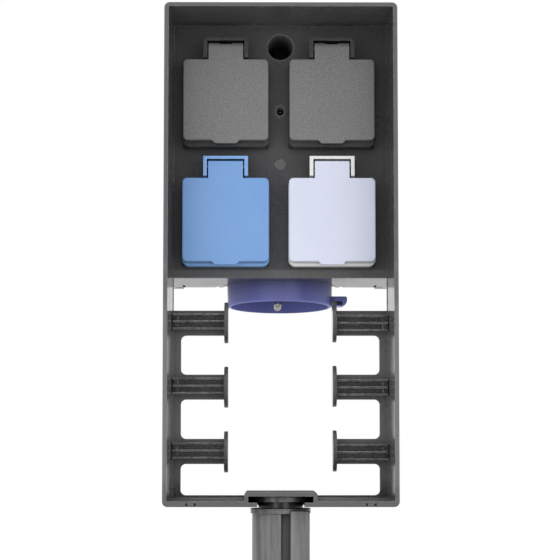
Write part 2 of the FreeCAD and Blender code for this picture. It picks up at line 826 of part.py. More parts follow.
def make_socket(name, x, z, kind):
    """The nine pieces of one lidded socket, from the panel's front face at the recess's middle."""
    def put(piece):
        place(piece, x, "panel_depth - spike_depth", "housing_lift + %s" % z)

    hinge_height = "(%s + %s_tongue_rise - knuckle_radius)" % (BASE_TOP, kind)
    put(socket_base(name, kind, hinge_height))
    put(socket_gasket(name))
    put(contact_carrier(name))
    put(pole_contacts(name))
    put(earth_clip(name))
    put(socket_lid(name, kind, hinge_height))
    put(lid_seal(name))
    put(hinge_pin(name, hinge_height))
    put(lid_spring(name, hinge_height))


def socket_base(name, kind, hinge_height):
    """Square base with the plug's round recess, a tube through the panel and the hinge's bracket."""
    body = new_body(name + "_socket_base")
    block = rectangle(
        front_sketch(body, "-base_proud"), "-" + BASE_HALF, "-" + BASE_TOP, BASE_HALF, BASE_TOP
    )
    pad(body, block, "base_proud - gasket_thickness", back=True)

    def corner(edge):
        return runs_along(edge, 1)

    fillet(body, "base_corner", corner)

    def front_edge(edge):
        return at(edge.BoundBox.YMax, "-base_proud")

    fillet(body, "base_round", front_edge)
    bracket_foot = BASE_TOP + " - base_corner"
    bracket_top = BASE_TOP + " + bracket_rise"
    arch = [("-bracket_half", bracket_foot), ("bracket_half", bracket_foot)]
    if kind == "dark":
        arch.append(("bracket_half", bracket_top + " - bracket_corner"))
        arch.append(("bracket_half - bracket_corner", bracket_top))
        arch.append(("-bracket_half + bracket_corner", bracket_top))
        arch.append(("-bracket_half", bracket_top + " - bracket_corner"))
    else:
        arch.append(("bracket_half", bracket_top))
        arch.append(("-bracket_half", bracket_top))
    bracket = outline(front_sketch(body, "-bracket_proud"), arch)
    pad(body, bracket, "bracket_proud - gasket_thickness", back=True)
    opening = rectangle(
        front_sketch(body, "-bracket_proud"),
        "-bracket_half + bracket_leg",
        BASE_TOP,
        "bracket_half - bracket_leg",
        bracket_top + " - bar_thickness",
    )
    pocket(body, opening, "bracket_proud - bracket_back")
    step = rectangle(
        front_sketch(body, "-bracket_proud"),
        "-bracket_half - overcut",
        BASE_TOP + " - base_corner - overcut",
        "bracket_half + overcut",
        BASE_TOP,
    )
    pocket(body, step, "bracket_proud - base_proud")
    under = BASE_TOP + " - seat_gap"
    relief = [
        ("-bracket_proud - seat_gap", under),
        ("-lid_face + knuckle_radius", under),
        ("-lid_face + knuckle_radius", BASE_TOP),
        ("-bracket_proud", BASE_TOP + " + leg_relief"),
        ("-bracket_proud - seat_gap", BASE_TOP + " + leg_relief"),
    ]
    feet = outline(side_sketch(body, "-bracket_half - overcut"), relief)
    pocket(body, feet, "2*bracket_half + 2*overcut", back=True)
    tube = circle(front_sketch(body, "-gasket_thickness"), "0", "0", "recess_radius + tube_wall")
    pad(body, tube, "tube_behind + gasket_thickness", back=True)
    recess = circle(front_sketch(body, "-base_proud - overcut"), "0", "0", "recess_radius")
    pocket(body, recess, "base_proud + tube_behind + 2*overcut")
    beside = side_sketch(body, "-bracket_half - overcut")
    hinge = circle(beside, "-lid_face + knuckle_radius", hinge_height, "pin_radius + pin_gap")
    pocket(body, hinge, "2*bracket_half + 2*overcut", back=True)
    shank = ("fixing_hole", "base_proud")
    head = ("fixing_head_radius + slip_gap", "fixing_head_height")
    for radius, depth in (shank, head):
        holes = front_sketch(body, "-base_proud")
        for dx, dz in FIXINGS:
            circle(holes, dx, dz, radius)
        pocket(body, holes, depth)
    return body


def socket_gasket(name):
    """Flat rubber gasket under the base, squeezed against the panel."""
    body = new_body(name + "_socket_gasket")
    sketch = front_sketch(body, "-gasket_thickness")
    rectangle(
        sketch,
        "-%s + seat_gap" % BASE_HALF,
        "-%s + seat_gap" % BASE_TOP,
        BASE_HALF + " - seat_gap",
        BASE_TOP + " - seat_gap",
    )
    circle(sketch, "0", "0", "recess_radius + tube_wall + seat_gap")
    for dx, dz in FIXINGS:
        circle(sketch, dx, dz, "fixing_hole")
    pad(body, sketch, "gasket_thickness", back=True)
    return body


def contact_carrier(name):
    """Insulating floor of the recess, with the pole holes and the chambers of the contacts."""
    body = new_body(name + "_contact_carrier")
    disc = circle(front_sketch(body, RECESS_END), "0", "0", "recess_radius - slip_gap")
    pad(body, disc, "%s - %s" % (CARRIER_BACK, RECESS_END), back=True)
    flange = circle(front_sketch(body, CARRIER_STEP), "0", "0", "recess_radius + tube_wall - slip_gap")
    pad(body, flange, "carrier_flange_length", back=True)
    poles = front_sketch(body, RECESS_END)
    chambers = front_sketch(body, "%s + pole_hole_length" % RECESS_END)
    slots = front_sketch(body, RECESS_END)
    for sign in SIDES.values():
        circle(poles, sign + "pole_pitch/2", "0", "pole_hole_radius")
        middle = "%spole_pitch/2" % sign
        rectangle(
            chambers,
            middle + " - clip_width/2 - slip_gap",
            "-clip_height/2 - slip_gap",
            middle + " + clip_width/2 + slip_gap",
            "clip_height/2 + slip_gap",
        )
        inner = sign + "(earth_reach - earth_thickness - seat_gap)"
        outer = sign + "(recess_radius + tube_wall + overcut)"
        rectangle(slots, "-earth_width/2 - seat_gap", inner, "earth_width/2 + seat_gap", outer)
    pocket(body, poles, "pole_hole_length")
    pocket(body, chambers, "%s - %s + overcut" % (CARRIER_BACK, RECESS_END))
    pocket(body, slots, "%s - %s + overcut" % (CARRIER_BACK, RECESS_END))
    return body


def pole_contacts(name):
    """Two brass clips that grip the plug's pins, each with a tail for its wire."""
    clips = []
    for side, sign in SIDES.items():
        body = new_body("%s_%s_clip" % (name, side))
        middle = "%spole_pitch/2" % sign
        start = "(%s + pole_hole_length + slip_gap)" % RECESS_END
        block = rectangle(
            front_sketch(body, start),
            middle + " - clip_width/2",
            "-clip_height/2",
            middle + " + clip_width/2",
            "clip_height/2",
        )
        pad(body, block, "%s - %s" % (CARRIER_BACK, start), back=True)
        tail = front_sketch(body, CARRIER_BACK + " - slip_gap")
        rectangle(
            tail,
            middle + " - tail_width/2",
            "-clip_height/2",
            middle + " + tail_width/2",
            "-clip_height/2 + tail_height",
        )
        pad(body, tail, "tail_length + slip_gap", back=True)
        bore = circle(front_sketch(body, start), middle, "0", "clip_bore")
        pocket(body, bore, "%s - %s" % (CARRIER_BACK, RECESS_END))
        clips.append(body)
    return grouped(name + "_pole_contacts", clips)


def earth_clip(name):
    """One sprung strip round the carrier's back, its two noses standing in the recess."""
    body = new_body(name + "_earth_clip")
    inner = [
        ("-base_proud + nose_tip", "earth_reach - earth_thickness - slip_gap"),
        ("-base_proud + nose_peak", "earth_reach - earth_thickness - earth_nose"),
        ("-base_proud + nose_end", "earth_reach - earth_thickness"),
        (CARRIER_BACK, "earth_reach - earth_thickness"),
    ]
    outer = [
        (CARRIER_BACK + " + earth_thickness", "earth_reach"),
        ("-base_proud + nose_end", "earth_reach"),
        ("-base_proud + nose_peak", "earth_reach - earth_nose"),
        ("-base_proud + nose_tip", "earth_reach - slip_gap"),
    ]
    below = [(y, "-(%s)" % z) for y, z in reversed(inner)]
    around = [(y, "-(%s)" % z) for y, z in reversed(outer)]
    profile = inner + below + around + outer
    pad(body, outline(side_sketch(body, "-earth_width/2"), profile), "earth_width")
    return body


def socket_lid(name, kind, hinge_height):
    """Sprung lid: a shallow cap with a thumb tab below and a hinge tongue above."""
    body = new_body(name + "_lid")
    seal = "recess_radius + seal_land"
    half = "(%s + %s_side_gap + lid_wall)" % (seal, kind)
    top = "(%s - seat_gap)" % BASE_TOP
    foot = "(-(%s) - %s_foot_gap - lid_wall)" % (seal, kind)
    cap = rectangle(front_sketch(body, "-lid_face"), "-" + half, foot, half, top)
    pad(body, cap, "lid_thickness", back=True)

    def corner(edge):
        return runs_along(edge, 1)

    fillet(body, "lid_corner", corner)

    def front_edge(edge):
        return at(edge.BoundBox.YMax, "-lid_face")

    fillet(body, "lid_round", front_edge)
    tongue = rectangle(
        side_sketch(body, "-tongue_half"),
        "-lid_face",
        top + " - lid_wall",
        "-lid_face + knuckle_radius",
        hinge_height + " + knuckle_radius",
    )
    pad(body, tongue, "2*tongue_half")
    axis_depth = "-lid_face + knuckle_radius"
    knuckle = circle(side_sketch(body, "-tongue_half"), axis_depth, hinge_height, "knuckle_radius")
    pad(body, knuckle, "2*tongue_half")

    def tongue_edge(edge):
        box = edge.BoundBox
        return at(box.YMax, "-lid_face") and at(box.ZMin, hinge_height + " + knuckle_radius")

    fillet(body, kind + "_tongue_round", tongue_edge)
    tab = [
        ("-tab_top_half", foot + " + lid_wall"),
        ("-tab_top_half", foot),
        ("-tab_bottom_half", foot + " - tab_drop"),
        ("tab_bottom_half", foot + " - tab_drop"),
        ("tab_top_half", foot),
        ("tab_top_half", foot + " + lid_wall"),
    ]
    pad(body, outline(front_sketch(body, "-lid_face"), tab), "tab_thickness", back=True)
    hollow = rectangle(
        front_sketch(body, "-lid_face + lid_skin"),
        "-%s + lid_wall" % half,
        foot + " + lid_wall",
        half + " - lid_wall",
        top + " - lid_wall",
    )
    pocket(body, hollow, "lid_thickness")
    beside = side_sketch(body, "-tongue_half - overcut")
    bore = circle(beside, axis_depth, hinge_height, "pin_radius + pin_gap")
    pocket(body, bore, "2*tongue_half + 2*overcut", back=True)
    slot = rectangle(
        side_sketch(body, "-spring_slot_half"),
        "-lid_face + spring_skin",
        hinge_height + " - knuckle_radius",
        "-lid_face + 2*knuckle_radius + overcut",
        hinge_height + " + knuckle_radius + overcut",
    )
    pocket(body, slot, "2*spring_slot_half", back=True)
    return body


def lid_seal(name):
    """Rubber ring inside the lid that closes on the base round the recess."""
    body = new_body(name + "_lid_seal")
    sketch = front_sketch(body, "-lid_face + lid_skin")
    circle(sketch, "0", "0", "recess_radius + seal_land")
    circle(sketch, "0", "0", "recess_radius + seal_land - seal_width")
    pad(body, sketch, "lid_face - lid_skin - base_proud - seat_gap", back=True)
    return body


def hinge_pin(name, hinge_height):
    """Steel pin through the bracket's legs and the lid's knuckle."""
    pin = rod(
        name + "_pin_bar",
        RIGHT,
        ("-bracket_half + slip_gap", "-lid_face + knuckle_radius", hinge_height),
        "2*bracket_half - 2*slip_gap",
        "pin_radius",
    )
    return grouped(name + "_lid_pin", [pin])


def lid_spring(name, hinge_height):
    """Coil round the pin that closes the lid, with a leg on the tongue and one behind it."""
    body = new_body(name + "_lid_spring")
    axis_depth = "(-lid_face + knuckle_radius)"
    coil = side_sketch(body, "-spring_half")
    circle(coil, axis_depth, hinge_height, "spring_radius")
    circle(coil, axis_depth, hinge_height, "spring_radius - spring_wire")
    pad(body, coil, "2*spring_half")
    for start, near, top in (
        ("-spring_half", axis_depth + " + slip_gap", hinge_height + " - spring_radius + spring_wire/2"),
        (
            "spring_half - spring_wire",
            axis_depth + " + spring_radius - spring_wire - slip_gap",
            hinge_height + " - spring_wire",
        ),
    ):
        leg = rectangle(
            side_sketch(body, start), near, hinge_height + " - spring_leg", near + " + spring_wire", top
        )
        pad(body, leg, "spring_wire")
    return body


def make_socket_screws():
    """Four screws for each socket, through its base and gasket into the panel."""
    screws = []
    for name, (x, z, _kind) in SOCKETS.items():
        for number, (dx, dz) in enumerate(FIXINGS, start=1):
            label = "%s_fixing_%d" % (name, number)
            start = ("%s + %s" % (x, dx), "panel_depth - base_proud", "%s + %s" % (z, dz))
            length = "base_proud + tray_depth - panel_depth - slip_gap"
            shank = rod(label + "_shank", BACK, start, length, "fixing_radius")
            head = rod(label + "_head", BACK, start, "fixing_head_height - slip_gap", "fixing_head_radius")
            screws.append(joined(label, [shank, head]))
    place_in_housing(grouped("socket_screws", screws))


def place_on_inlet(piece):
    place(piece, "0", "inlet_depth - spike_depth", "housing_lift + box_foot")


def make_inlet():
    """The supply inlet: its collar, gasket, pin carrier, pins and screws, from the underside."""
    place_on_inlet(inlet_collar())
    place_on_inlet(inlet_gasket())
    place_on_inlet(inlet_carrier())
    place_on_inlet(inlet_pins())
    screws = []
    for number, (x, y) in enumerate(INLET_SCREWS, start=1):
        top = "(inlet_seat + inlet_gasket + inlet_flange)"
        shank = rod(
            "inlet_shank_%d" % number,
            UP,
            (x, y, "%s - inlet_screw_bite" % top),
            "inlet_screw_bite",
            "inlet_screw_radius",
        )
        head = rod("inlet_head_%d" % number, UP, (x, y, top), "inlet_head_height", "inlet_head_radius")
        screws.append(joined("inlet_screw_%d" % number, [shank, head]))
    place_on_inlet(grouped("inlet_screws", screws))


def inlet_collar():
    """Round collar with a slanted lip below, a flange inside the box and a catch for the plug."""
    body = new_body("inlet_collar")
    below = circle(plan_sketch(body, "0"), "0", "0", "collar_radius")
    pad(body, below, "lip_back + overcut", back=True, draft="collar_draft")
    pad(body, circle(plan_sketch(body, "0"), "0", "0", "collar_radius"), "collar_inside")
    flange = rectangle(
        plan_sketch(body, "inlet_seat + inlet_gasket"),
        "-inlet_half_width",
        "-inlet_half_depth + inlet_flange_trim",
        "inlet_half_width",
        "inlet_half_depth - inlet_flange_trim",
    )
    pad(body, flange, "inlet_flange")
    middle_lip = "(lip_front + lip_back)/2"
    clear = "(collar_radius + overcut)"
    tilt = "(lip_back - lip_front)*%s/(2*collar_radius)" % clear
    lip = [
        ("-" + clear, "-%s + %s" % (middle_lip, tilt)),
        (clear, "-%s - %s" % (middle_lip, tilt)),
        (clear, "-lip_back - 2*overcut"),
        ("-" + clear, "-lip_back - 2*overcut"),
    ]
    pocket(body, outline(side_sketch(body, "-" + clear), lip), "2*" + clear, back=True)

    def lip_edge(edge):
        return edge.BoundBox.ZMax < size("-lip_front + lip_round")

    fillet(body, "lip_round", lip_edge)
    bore = circle(plan_sketch(body, "collar_inside - collar_floor"), "0", "0", "collar_radius - collar_wall")
    pocket(body, bore, "collar_inside + lip_back + 2*overcut")
    add_catch(body)
    hole = circle(plan_sketch(body, "collar_inside + overcut"), "0", "0", "inlet_carrier_radius + slip_gap")
    pocket(body, hole, "collar_floor + 2*overcut")
    holes = plan_sketch(body, "inlet_seat + inlet_gasket + inlet_flange")
    for x, y in INLET_SCREWS:
        circle(holes, x, y, "inlet_screw_radius + slip_gap")
    pocket(body, holes, "inlet_flange")
    return body


def add_catch(body):
    """The nose on the collar's right that holds the plug in, with a slot in its front."""
    foot = "(-catch_top - catch_height)"
    nose = rectangle(
        front_sketch(body, "-catch_half"), "collar_radius - collar_wall/2", foot, "catch_outer", "-catch_top"
    )
    pad(body, nose, "2*catch_half", back=True)
    for radius, height in (("catch_round", "-catch_top"), ("catch_belly", foot)):

        def outer_edge(edge):
            middle = edge.CenterOfMass
            return runs_along(edge, 1) and at(middle.x, "catch_outer") and at(middle.z, height)

        fillet(body, radius, outer_edge)
    start = "collar_radius + catch_slot_start"
    slot = rectangle(
        front_sketch(body, "-catch_half"),
        start,
        foot + " + catch_skin",
        start + " + catch_slot_length",
        foot + " + catch_skin + catch_slot_height",
    )
    pocket(body, slot, "catch_slot_depth")


def inlet_gasket():
    """Rubber gasket between the collar's flange and its seat in the rear cover."""
    body = new_body("inlet_gasket")
    sketch = plan_sketch(body, "inlet_seat")
    rectangle(sketch, "-inlet_half_width", "-inlet_half_depth", "inlet_half_width", "inlet_half_depth")
    circle(sketch, "0", "0", "collar_radius + seat_gap")
    for x, y in INLET_SCREWS:
        circle(sketch, x, y, "inlet_screw_radius + slip_gap")
    pad(body, sketch, "inlet_gasket")
    return body


POLES = [
    ("earth", "pole_circle", "0", "earth_pin_radius", "(-lip_back + earth_tip_rise)"),
    (
        "live",
        "pole_circle*cos(pole_angle)",
        "-pole_circle*sin(pole_angle)",
        "inlet_pin_radius",
        "(-lip_back + pole_tip_rise)",
    ),
    (
        "neutral",
        "pole_circle*cos(pole_angle)",
        "pole_circle*sin(pole_angle)",
        "inlet_pin_radius",
        "(-lip_back + pole_tip_rise)",
    ),
]


def inlet_carrier():
    """Insulating plug that holds the three pins in the collar's floor."""
    body = new_body("inlet_carrier")
    low = "(collar_inside - collar_floor - inlet_carrier_drop)"
    stem = circle(plan_sketch(body, low), "0", "0", "inlet_carrier_radius")
    pad(body, stem, "collar_inside + inlet_cap_height - %s" % low)
    cap = circle(plan_sketch(body, "collar_inside"), "0", "0", "inlet_cap_radius")
    pad(body, cap, "inlet_cap_height")
    bores = plan_sketch(body, low + " - overcut")
    for _name, x, y, radius, _tip in POLES:
        circle(bores, x, y, radius + " + slip_gap")
    pocket(body, bores, "collar_inside + inlet_cap_height - %s + 2*overcut" % low, back=True)
    return body


def inlet_pins():
    """Live, neutral and the thicker earth pin, each with a collar on the carrier and a round tip."""
    pins = []
    top = "(collar_inside + inlet_cap_height)"
    for name, x, y, radius, tip in POLES:
        nose = doc.addObject("Part::Sphere", name + "_pin_nose")
        nose.setExpression("Radius", bound(radius))
        put_at(nose, (x, y, "%s + %s" % (tip, radius)))
        shaft = rod(
            name + "_pin_shaft",
            UP,
            (x, y, "%s + %s" % (tip, radius)),
            "%s + pin_tail - %s - %s" % (top, tip, radius),
            radius,
        )
        shoulder = rod(name + "_pin_shoulder", UP, (x, y, top), "shoulder_height", radius + " + pin_shoulder")
        pins.append(joined(name + "_pin", [nose, shaft, shoulder]))
    return grouped("inlet_pins", pins)


BEND_SHARE = 0.45  # of a straight run, that each bend at its ends may take


def round_path(points):
    """Straight runs through the points, joined by the largest arcs that their runs allow."""
    edges = []
    start = points[0]
    for before, corner, after in zip(points, points[1:], points[2:]):
        inward = (before - corner).normalize()
        outward = (after - corner).normalize()
        reach = BEND_SHARE * min(before.distanceToPoint(corner), after.distanceToPoint(corner))
        half_angle = inward.getAngle(outward) / 2
        first = corner + inward * reach
        last = corner + outward * reach
        to_middle = reach * (1 - math.sin(half_angle)) / math.cos(half_angle)
        middle = corner + (inward + outward).normalize() * to_middle
        edges.append(Part.LineSegment(start, first).toShape())
        edges.append(Part.Arc(first, middle, last).toShape())
        start = last
    edges.append(Part.LineSegment(start, points[-1]).toShape())
    return Part.Wire(edges)


def wire_piece(name, routes, radius):
    """One round solid along each route, each point of a route three formulas of sizes."""
    solids = []
    for route in routes:
        points = [Vector(size(x), size(y), size(z)) for x, y, z in route]
        path = round_path(points)
        section = Part.Wire([Part.makeCircle(size(radius), points[0], points[1] - points[0])])
        solids.append(path.makePipeShell([section], True, False))
    piece = doc.addObject("Part::Feature", name)
    piece.Shape = Part.makeCompound(solids)
    piece.Label = name
    return piece


def make_wiring():
    """Terminal block on the cover's back wall, a sheathed lead to each socket and three cores below."""
    block_back = "(cover_back - cover_wall)"
    block_front = "(cover_back - cover_wall - block_thickness)"
    body = new_body("terminal_block")
    block_top = "block_foot + block_height"
    block = rectangle(front_sketch(body, block_front), "-block_half", "block_foot", "block_half", block_top)
    pad(body, block, "%s - %s" % (block_back, block_front), back=True)
    place_in_housing(body)

    leads = []
    for x, z, kind in SOCKETS.values():
        entry_x = "-block_half/2" if x.startswith("-") else "block_half/2"
        entry_z = "(block_foot + %s*block_height/4)" % ("1" if kind == "light" else "3")
        leads.append([
            (x, "panel_depth + %s + earth_thickness" % CARRIER_BACK, z),
            (x, "lead_back", z),
            (entry_x, "lead_back + lead_bend", entry_z),
            (entry_x, block_front, entry_z),
        ])
    place_in_housing(wire_piece("socket_leads", leads, "lead_radius"))

    pin_top = "(box_foot + collar_inside + inlet_cap_height + pin_tail)"
    cores = []
    for _name, x, y, _radius, _tip in POLES:
        depth = "inlet_depth + %s" % y
        entry = "%s + block_thickness/2" % block_front
        cores.append([
            (x, depth, pin_top),
            (x, depth, "%s + core_bend" % pin_top),
            (x, entry, "block_foot - core_bend"),
            (x, entry, "block_foot"),
        ])
    place_in_housing(wire_piece("inlet_cores", cores, "core_radius"))


make_front_housing()
make_winding_arms()
make_rear_cover()
make_cover_seal()
make_cover_screws()
for socket_name, (socket_x, socket_z, socket_kind) in SOCKETS.items():
    make_socket(socket_name, socket_x, socket_z, socket_kind)
make_socket_screws()
make_inlet()
make_wiring()
make_ground_spike()
doc.recompute()

for item in doc.Objects:
    if "Invalid" in item.State or "Error" in item.State:
        raise RuntimeError("%s failed: %s" % (item.Label, item.State))
for piece in made:
    if piece.Shape.isNull() or not piece.Shape.isValid() or not piece.Shape.Solids:
        raise RuntimeError("%s has no valid solid" % piece.Label)
    piece.Shape.exportStep(os.path.join("parts", piece.Label + ".step"))
print("%d nodes" % len(made))
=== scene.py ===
import math

import bmesh
import bpy
from mathutils import Matrix, Vector


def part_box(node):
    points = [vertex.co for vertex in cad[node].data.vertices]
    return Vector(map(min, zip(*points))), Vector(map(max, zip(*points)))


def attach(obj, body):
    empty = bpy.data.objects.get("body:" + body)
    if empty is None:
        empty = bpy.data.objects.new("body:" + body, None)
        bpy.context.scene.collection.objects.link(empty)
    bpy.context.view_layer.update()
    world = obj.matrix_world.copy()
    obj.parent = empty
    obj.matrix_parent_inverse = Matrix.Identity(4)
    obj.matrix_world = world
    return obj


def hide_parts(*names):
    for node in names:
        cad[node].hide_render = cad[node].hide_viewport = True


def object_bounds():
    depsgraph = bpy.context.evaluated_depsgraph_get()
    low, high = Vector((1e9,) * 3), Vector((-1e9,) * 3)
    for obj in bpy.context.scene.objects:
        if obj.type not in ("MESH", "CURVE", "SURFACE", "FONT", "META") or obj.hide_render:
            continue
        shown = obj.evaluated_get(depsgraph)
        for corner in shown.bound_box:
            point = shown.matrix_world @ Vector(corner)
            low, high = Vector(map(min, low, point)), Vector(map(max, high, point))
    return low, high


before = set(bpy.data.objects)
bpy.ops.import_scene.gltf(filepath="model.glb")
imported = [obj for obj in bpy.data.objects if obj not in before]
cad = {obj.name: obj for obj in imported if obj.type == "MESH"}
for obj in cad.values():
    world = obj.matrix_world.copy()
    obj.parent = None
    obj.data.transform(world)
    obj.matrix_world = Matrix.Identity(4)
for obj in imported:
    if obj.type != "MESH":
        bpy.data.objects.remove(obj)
cad_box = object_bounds()


# Camera. It stands a little over a metre in front, level with the lowest winding arms and just
# left of the middle, and looks slightly up, from where the photograph was taken.
def placed(name, data):
    """A new object of the scene for this camera, lamp or mesh."""
    made = bpy.data.objects.new(name, data)
    bpy.context.collection.objects.link(made)
    return made


camera = placed("camera", bpy.data.cameras.new("camera"))
camera.data.sensor_width = 36
camera.data.lens = 129.2
camera.data.clip_end = 60
camera.location = (-0.0085, -1.128, 0.0812)
camera.rotation_euler = (math.radians(94.83), 0, math.radians(-0.415))
bpy.context.scene.camera = camera
bpy.context.scene.view_settings.view_transform = "Standard"


# Studio. A pale floor under the spike's tip, a white surround and three soft lamps, one high in
# front and one on each side. The surround is dimmer straight in front, and the floor is dimmer in
# what mirrors it, so that the plastic stays dark.
FLOOR_HALF = 6
FLOOR_GAP = 0.0005
FLOOR_GLOW = 0.94  # share of the floor that is plain white to the eye; the rest takes shadows


def node(tree, kind, **settings):
    """A new node of the tree, with its named inputs or properties set."""
    made = tree.nodes.new(kind)
    for name, value in settings.items():
        if hasattr(made, name):
            setattr(made, name, value)
        else:
            made.inputs[name.replace("_", " ")].default_value = value
    return made


def ramp(tree, source, low, high, to_low=0.0, to_high=1.0):
    """The source stretched from low and high to the new values, and held between them."""
    limits = {"From_Min": low, "From_Max": high, "To_Min": to_low, "To_Max": to_high}
    stretch = node(tree, "ShaderNodeMapRange", **limits)
    tree.links.new(source, stretch.inputs["Value"])
    return stretch.outputs["Result"]


def maths(tree, operation, first, second, clamp=False):
    """One output joined to another, or to a number, by a Math node."""
    step = node(tree, "ShaderNodeMath", operation=operation, use_clamp=clamp)
    tree.links.new(first, step.inputs[0])
    if isinstance(second, float):
        step.inputs[1].default_value = second
    else:
        tree.links.new(second, step.inputs[1])
    return step.outputs[0]


def axes(tree, source):
    """The X, Y and Z of a point or a direction."""
    split = node(tree, "ShaderNodeSeparateXYZ")
    tree.links.new(source, split.inputs[0])
    return split.outputs


def white_to_eye(tree):
    """1 for rays from the camera, from a mirror or through glass, and 0 for the rest."""
    path = node(tree, "ShaderNodeLightPath").outputs
    direct = maths(tree, "MAXIMUM", path["Is Camera Ray"], path["Is Glossy Ray"])
    return maths(tree, "MAXIMUM", direct, path["Is Transmission Ray"])


def show(tree, share, lit, seen, result):
    """The shader that lights, turned to the one that the eye sees by the share, as the result."""
    blend = node(tree, "ShaderNodeMixShader")
    for source, socket in zip((share, lit.outputs[0], seen.outputs[0]), blend.inputs):
        tree.links.new(source, socket)
    tree.links.new(blend.outputs[0], node(tree, result).inputs["Surface"])


def meshed(name, shape):
    """The shape as a mesh. The shape itself is freed."""
    mesh = bpy.data.meshes.new(name)
    shape.to_mesh(mesh)
    shape.free()
    return mesh


def lamp(name, place, aim, width, power):
    """A square soft lamp, turned towards its aim."""
    light = bpy.data.lights.new(name, "AREA")
    light.shape = "SQUARE"
    light.size = width
    light.energy = power
    holder = placed(name, light)
    holder.location = place
    holder.rotation_euler = (Vector(aim) - Vector(place)).to_track_quat("-Z", "Y").to_euler()


world = bpy.data.worlds.new("surround")
bpy.context.scene.world = world
world.use_nodes = True
air = world.node_tree
air.nodes.clear()
ambient = node(air, "ShaderNodeBackground", Color=(0.97, 0.98, 1, 1), Strength=0.95)
surround = node(air, "ShaderNodeBackground", Color=(1, 1, 1, 1))
toward = axes(air, node(air, "ShaderNodeTexCoord").outputs["Generated"])
dimmer_front = ramp(air, toward["Y"], -0.97, -0.6, 0.4, 1.0)
air.links.new(dimmer_front, surround.inputs["Strength"])
show(air, white_to_eye(air), ambient, surround, "ShaderNodeOutputWorld")

pale = bpy.data.materials.new("pale_floor")
pale.use_nodes = True
paint = pale.node_tree
paint.nodes.clear()
matt = node(paint, "ShaderNodeBsdfPrincipled", Base_Color=(0.86, 0.86, 0.85, 1), Roughness=0.8)
glow = node(paint, "ShaderNodeEmission", Color=(1, 1, 1, 1))
mirrored = node(paint, "ShaderNodeLightPath").outputs["Is Glossy Ray"]
dimmer_mirrored = ramp(paint, mirrored, 0, 1, 1.05, 0.6)
paint.links.new(dimmer_mirrored, glow.inputs["Strength"])
white = maths(paint, "MULTIPLY", white_to_eye(paint), FLOOR_GLOW)
show(paint, white, matt, glow, "ShaderNodeOutputMaterial")

shape = bmesh.new()
bmesh.ops.create_grid(shape, x_segments=2, y_segments=2, size=FLOOR_HALF)
bmesh.ops.translate(shape, verts=shape.verts, vec=(0, 0, cad_box[0][2] - FLOOR_GAP))
floor = placed("floor", meshed("floor", shape))
floor.data.materials.append(pale)

lamp("high_lamp", place=(-0.1, -1.55, 1.7), aim=(0, 0, 0.2), width=1.3, power=4)
lamp("left_lamp", place=(-0.95, -1.9, 0.2), aim=(0, 0, 0.12), width=0.9, power=4.5)
lamp("right_lamp", place=(1, -1.85, 0.25), aim=(0, 0, 0.12), width=0.9, power=5)


# Front housing. One injection moulding in charcoal plastic: hood, socket panel, lower frame and
# spike slot. Its faces are spark-grained. Painted light makes its walls, rim, panel lip and lower
# frame paler than the shaded panel, and the inside of its hanging well; painted shade darkens its
# creases. Heights and depths are metres in the shared frame.
HOUSING_FOOT = 0.05
FRAME_TOP = 0.165
PANEL_FOOT = 0.1796
LIP_HEIGHT = 0.005
GATE_MARK = 0.2454
CENTRE_SCREW = 0.2763
HANGING_WELL = 0.3139
RIM_FRONT = -0.025
WELL_END = 0.1  # the inside of the cover's back
PATCH_EDGE = 0.0003  # width over which a round patch fades out
LIP_EDGE = 0.0006  # width over which the panel's lip fades in and out
FRAME_EDGE = 0.008  # width over which the lower frame's paler shade fades in and out
DUST_COLOUR = (0.42, 0.41, 0.39)
# The colour of the painted shade in creases.
CREASE_SHADE_COLOUR = (0.012, 0.012, 0.012)
SMOOTHER, ROUGHER = 0.05, 0.06  # how far the roughness wanders with the tone
ALONG_FACE = 0.35  # share of its roughness that a face keeps when it is seen at a slant
DUST_BLUNTS = 0.4  # roughness added where dust lies
LEVEL_BLUNTS = 0.6  # roughness added on faces that lie level
MATT = 0.9
MIX_UNDER, MIX_OVER, MIX_RESULT = 6, 7, 2  # the colour sockets of a Mix node


def new_group(name, inputs, outputs):
    """A node group with these numbers to set, and its inlet and outlet."""
    group = bpy.data.node_groups.new(name, "ShaderNodeTree")
    for label, value in inputs.items():
        socket = group.interface.new_socket(label, in_out="INPUT", socket_type="NodeSocketFloat")
        socket.default_value = value
    for label in outputs:
        kind = "NodeSocketVector" if label == "Normal" else "NodeSocketFloat"
        group.interface.new_socket(label, in_out="OUTPUT", socket_type=kind)
    return group, node(group, "NodeGroupInput"), node(group, "NodeGroupOutput")


def product(tree, first, second):
    """One output times another: for two masks, where both hold."""
    return maths(tree, "MULTIPLY", first, second)


def object_place(tree):
    """Where a point lies in the piece, which is where it lies in the part at rest."""
    return node(tree, "ShaderNodeTexCoord").outputs["Object"]


def noise(tree, place, scale, **settings):
    """Noise at the place. Its scale is a number or an output."""
    texture = node(tree, "ShaderNodeTexNoise", **settings)
    tree.links.new(place, texture.inputs["Vector"])
    if isinstance(scale, float):
        texture.inputs["Scale"].default_value = scale
    else:
        tree.links.new(scale, texture.inputs["Scale"])
    return texture.outputs[0]


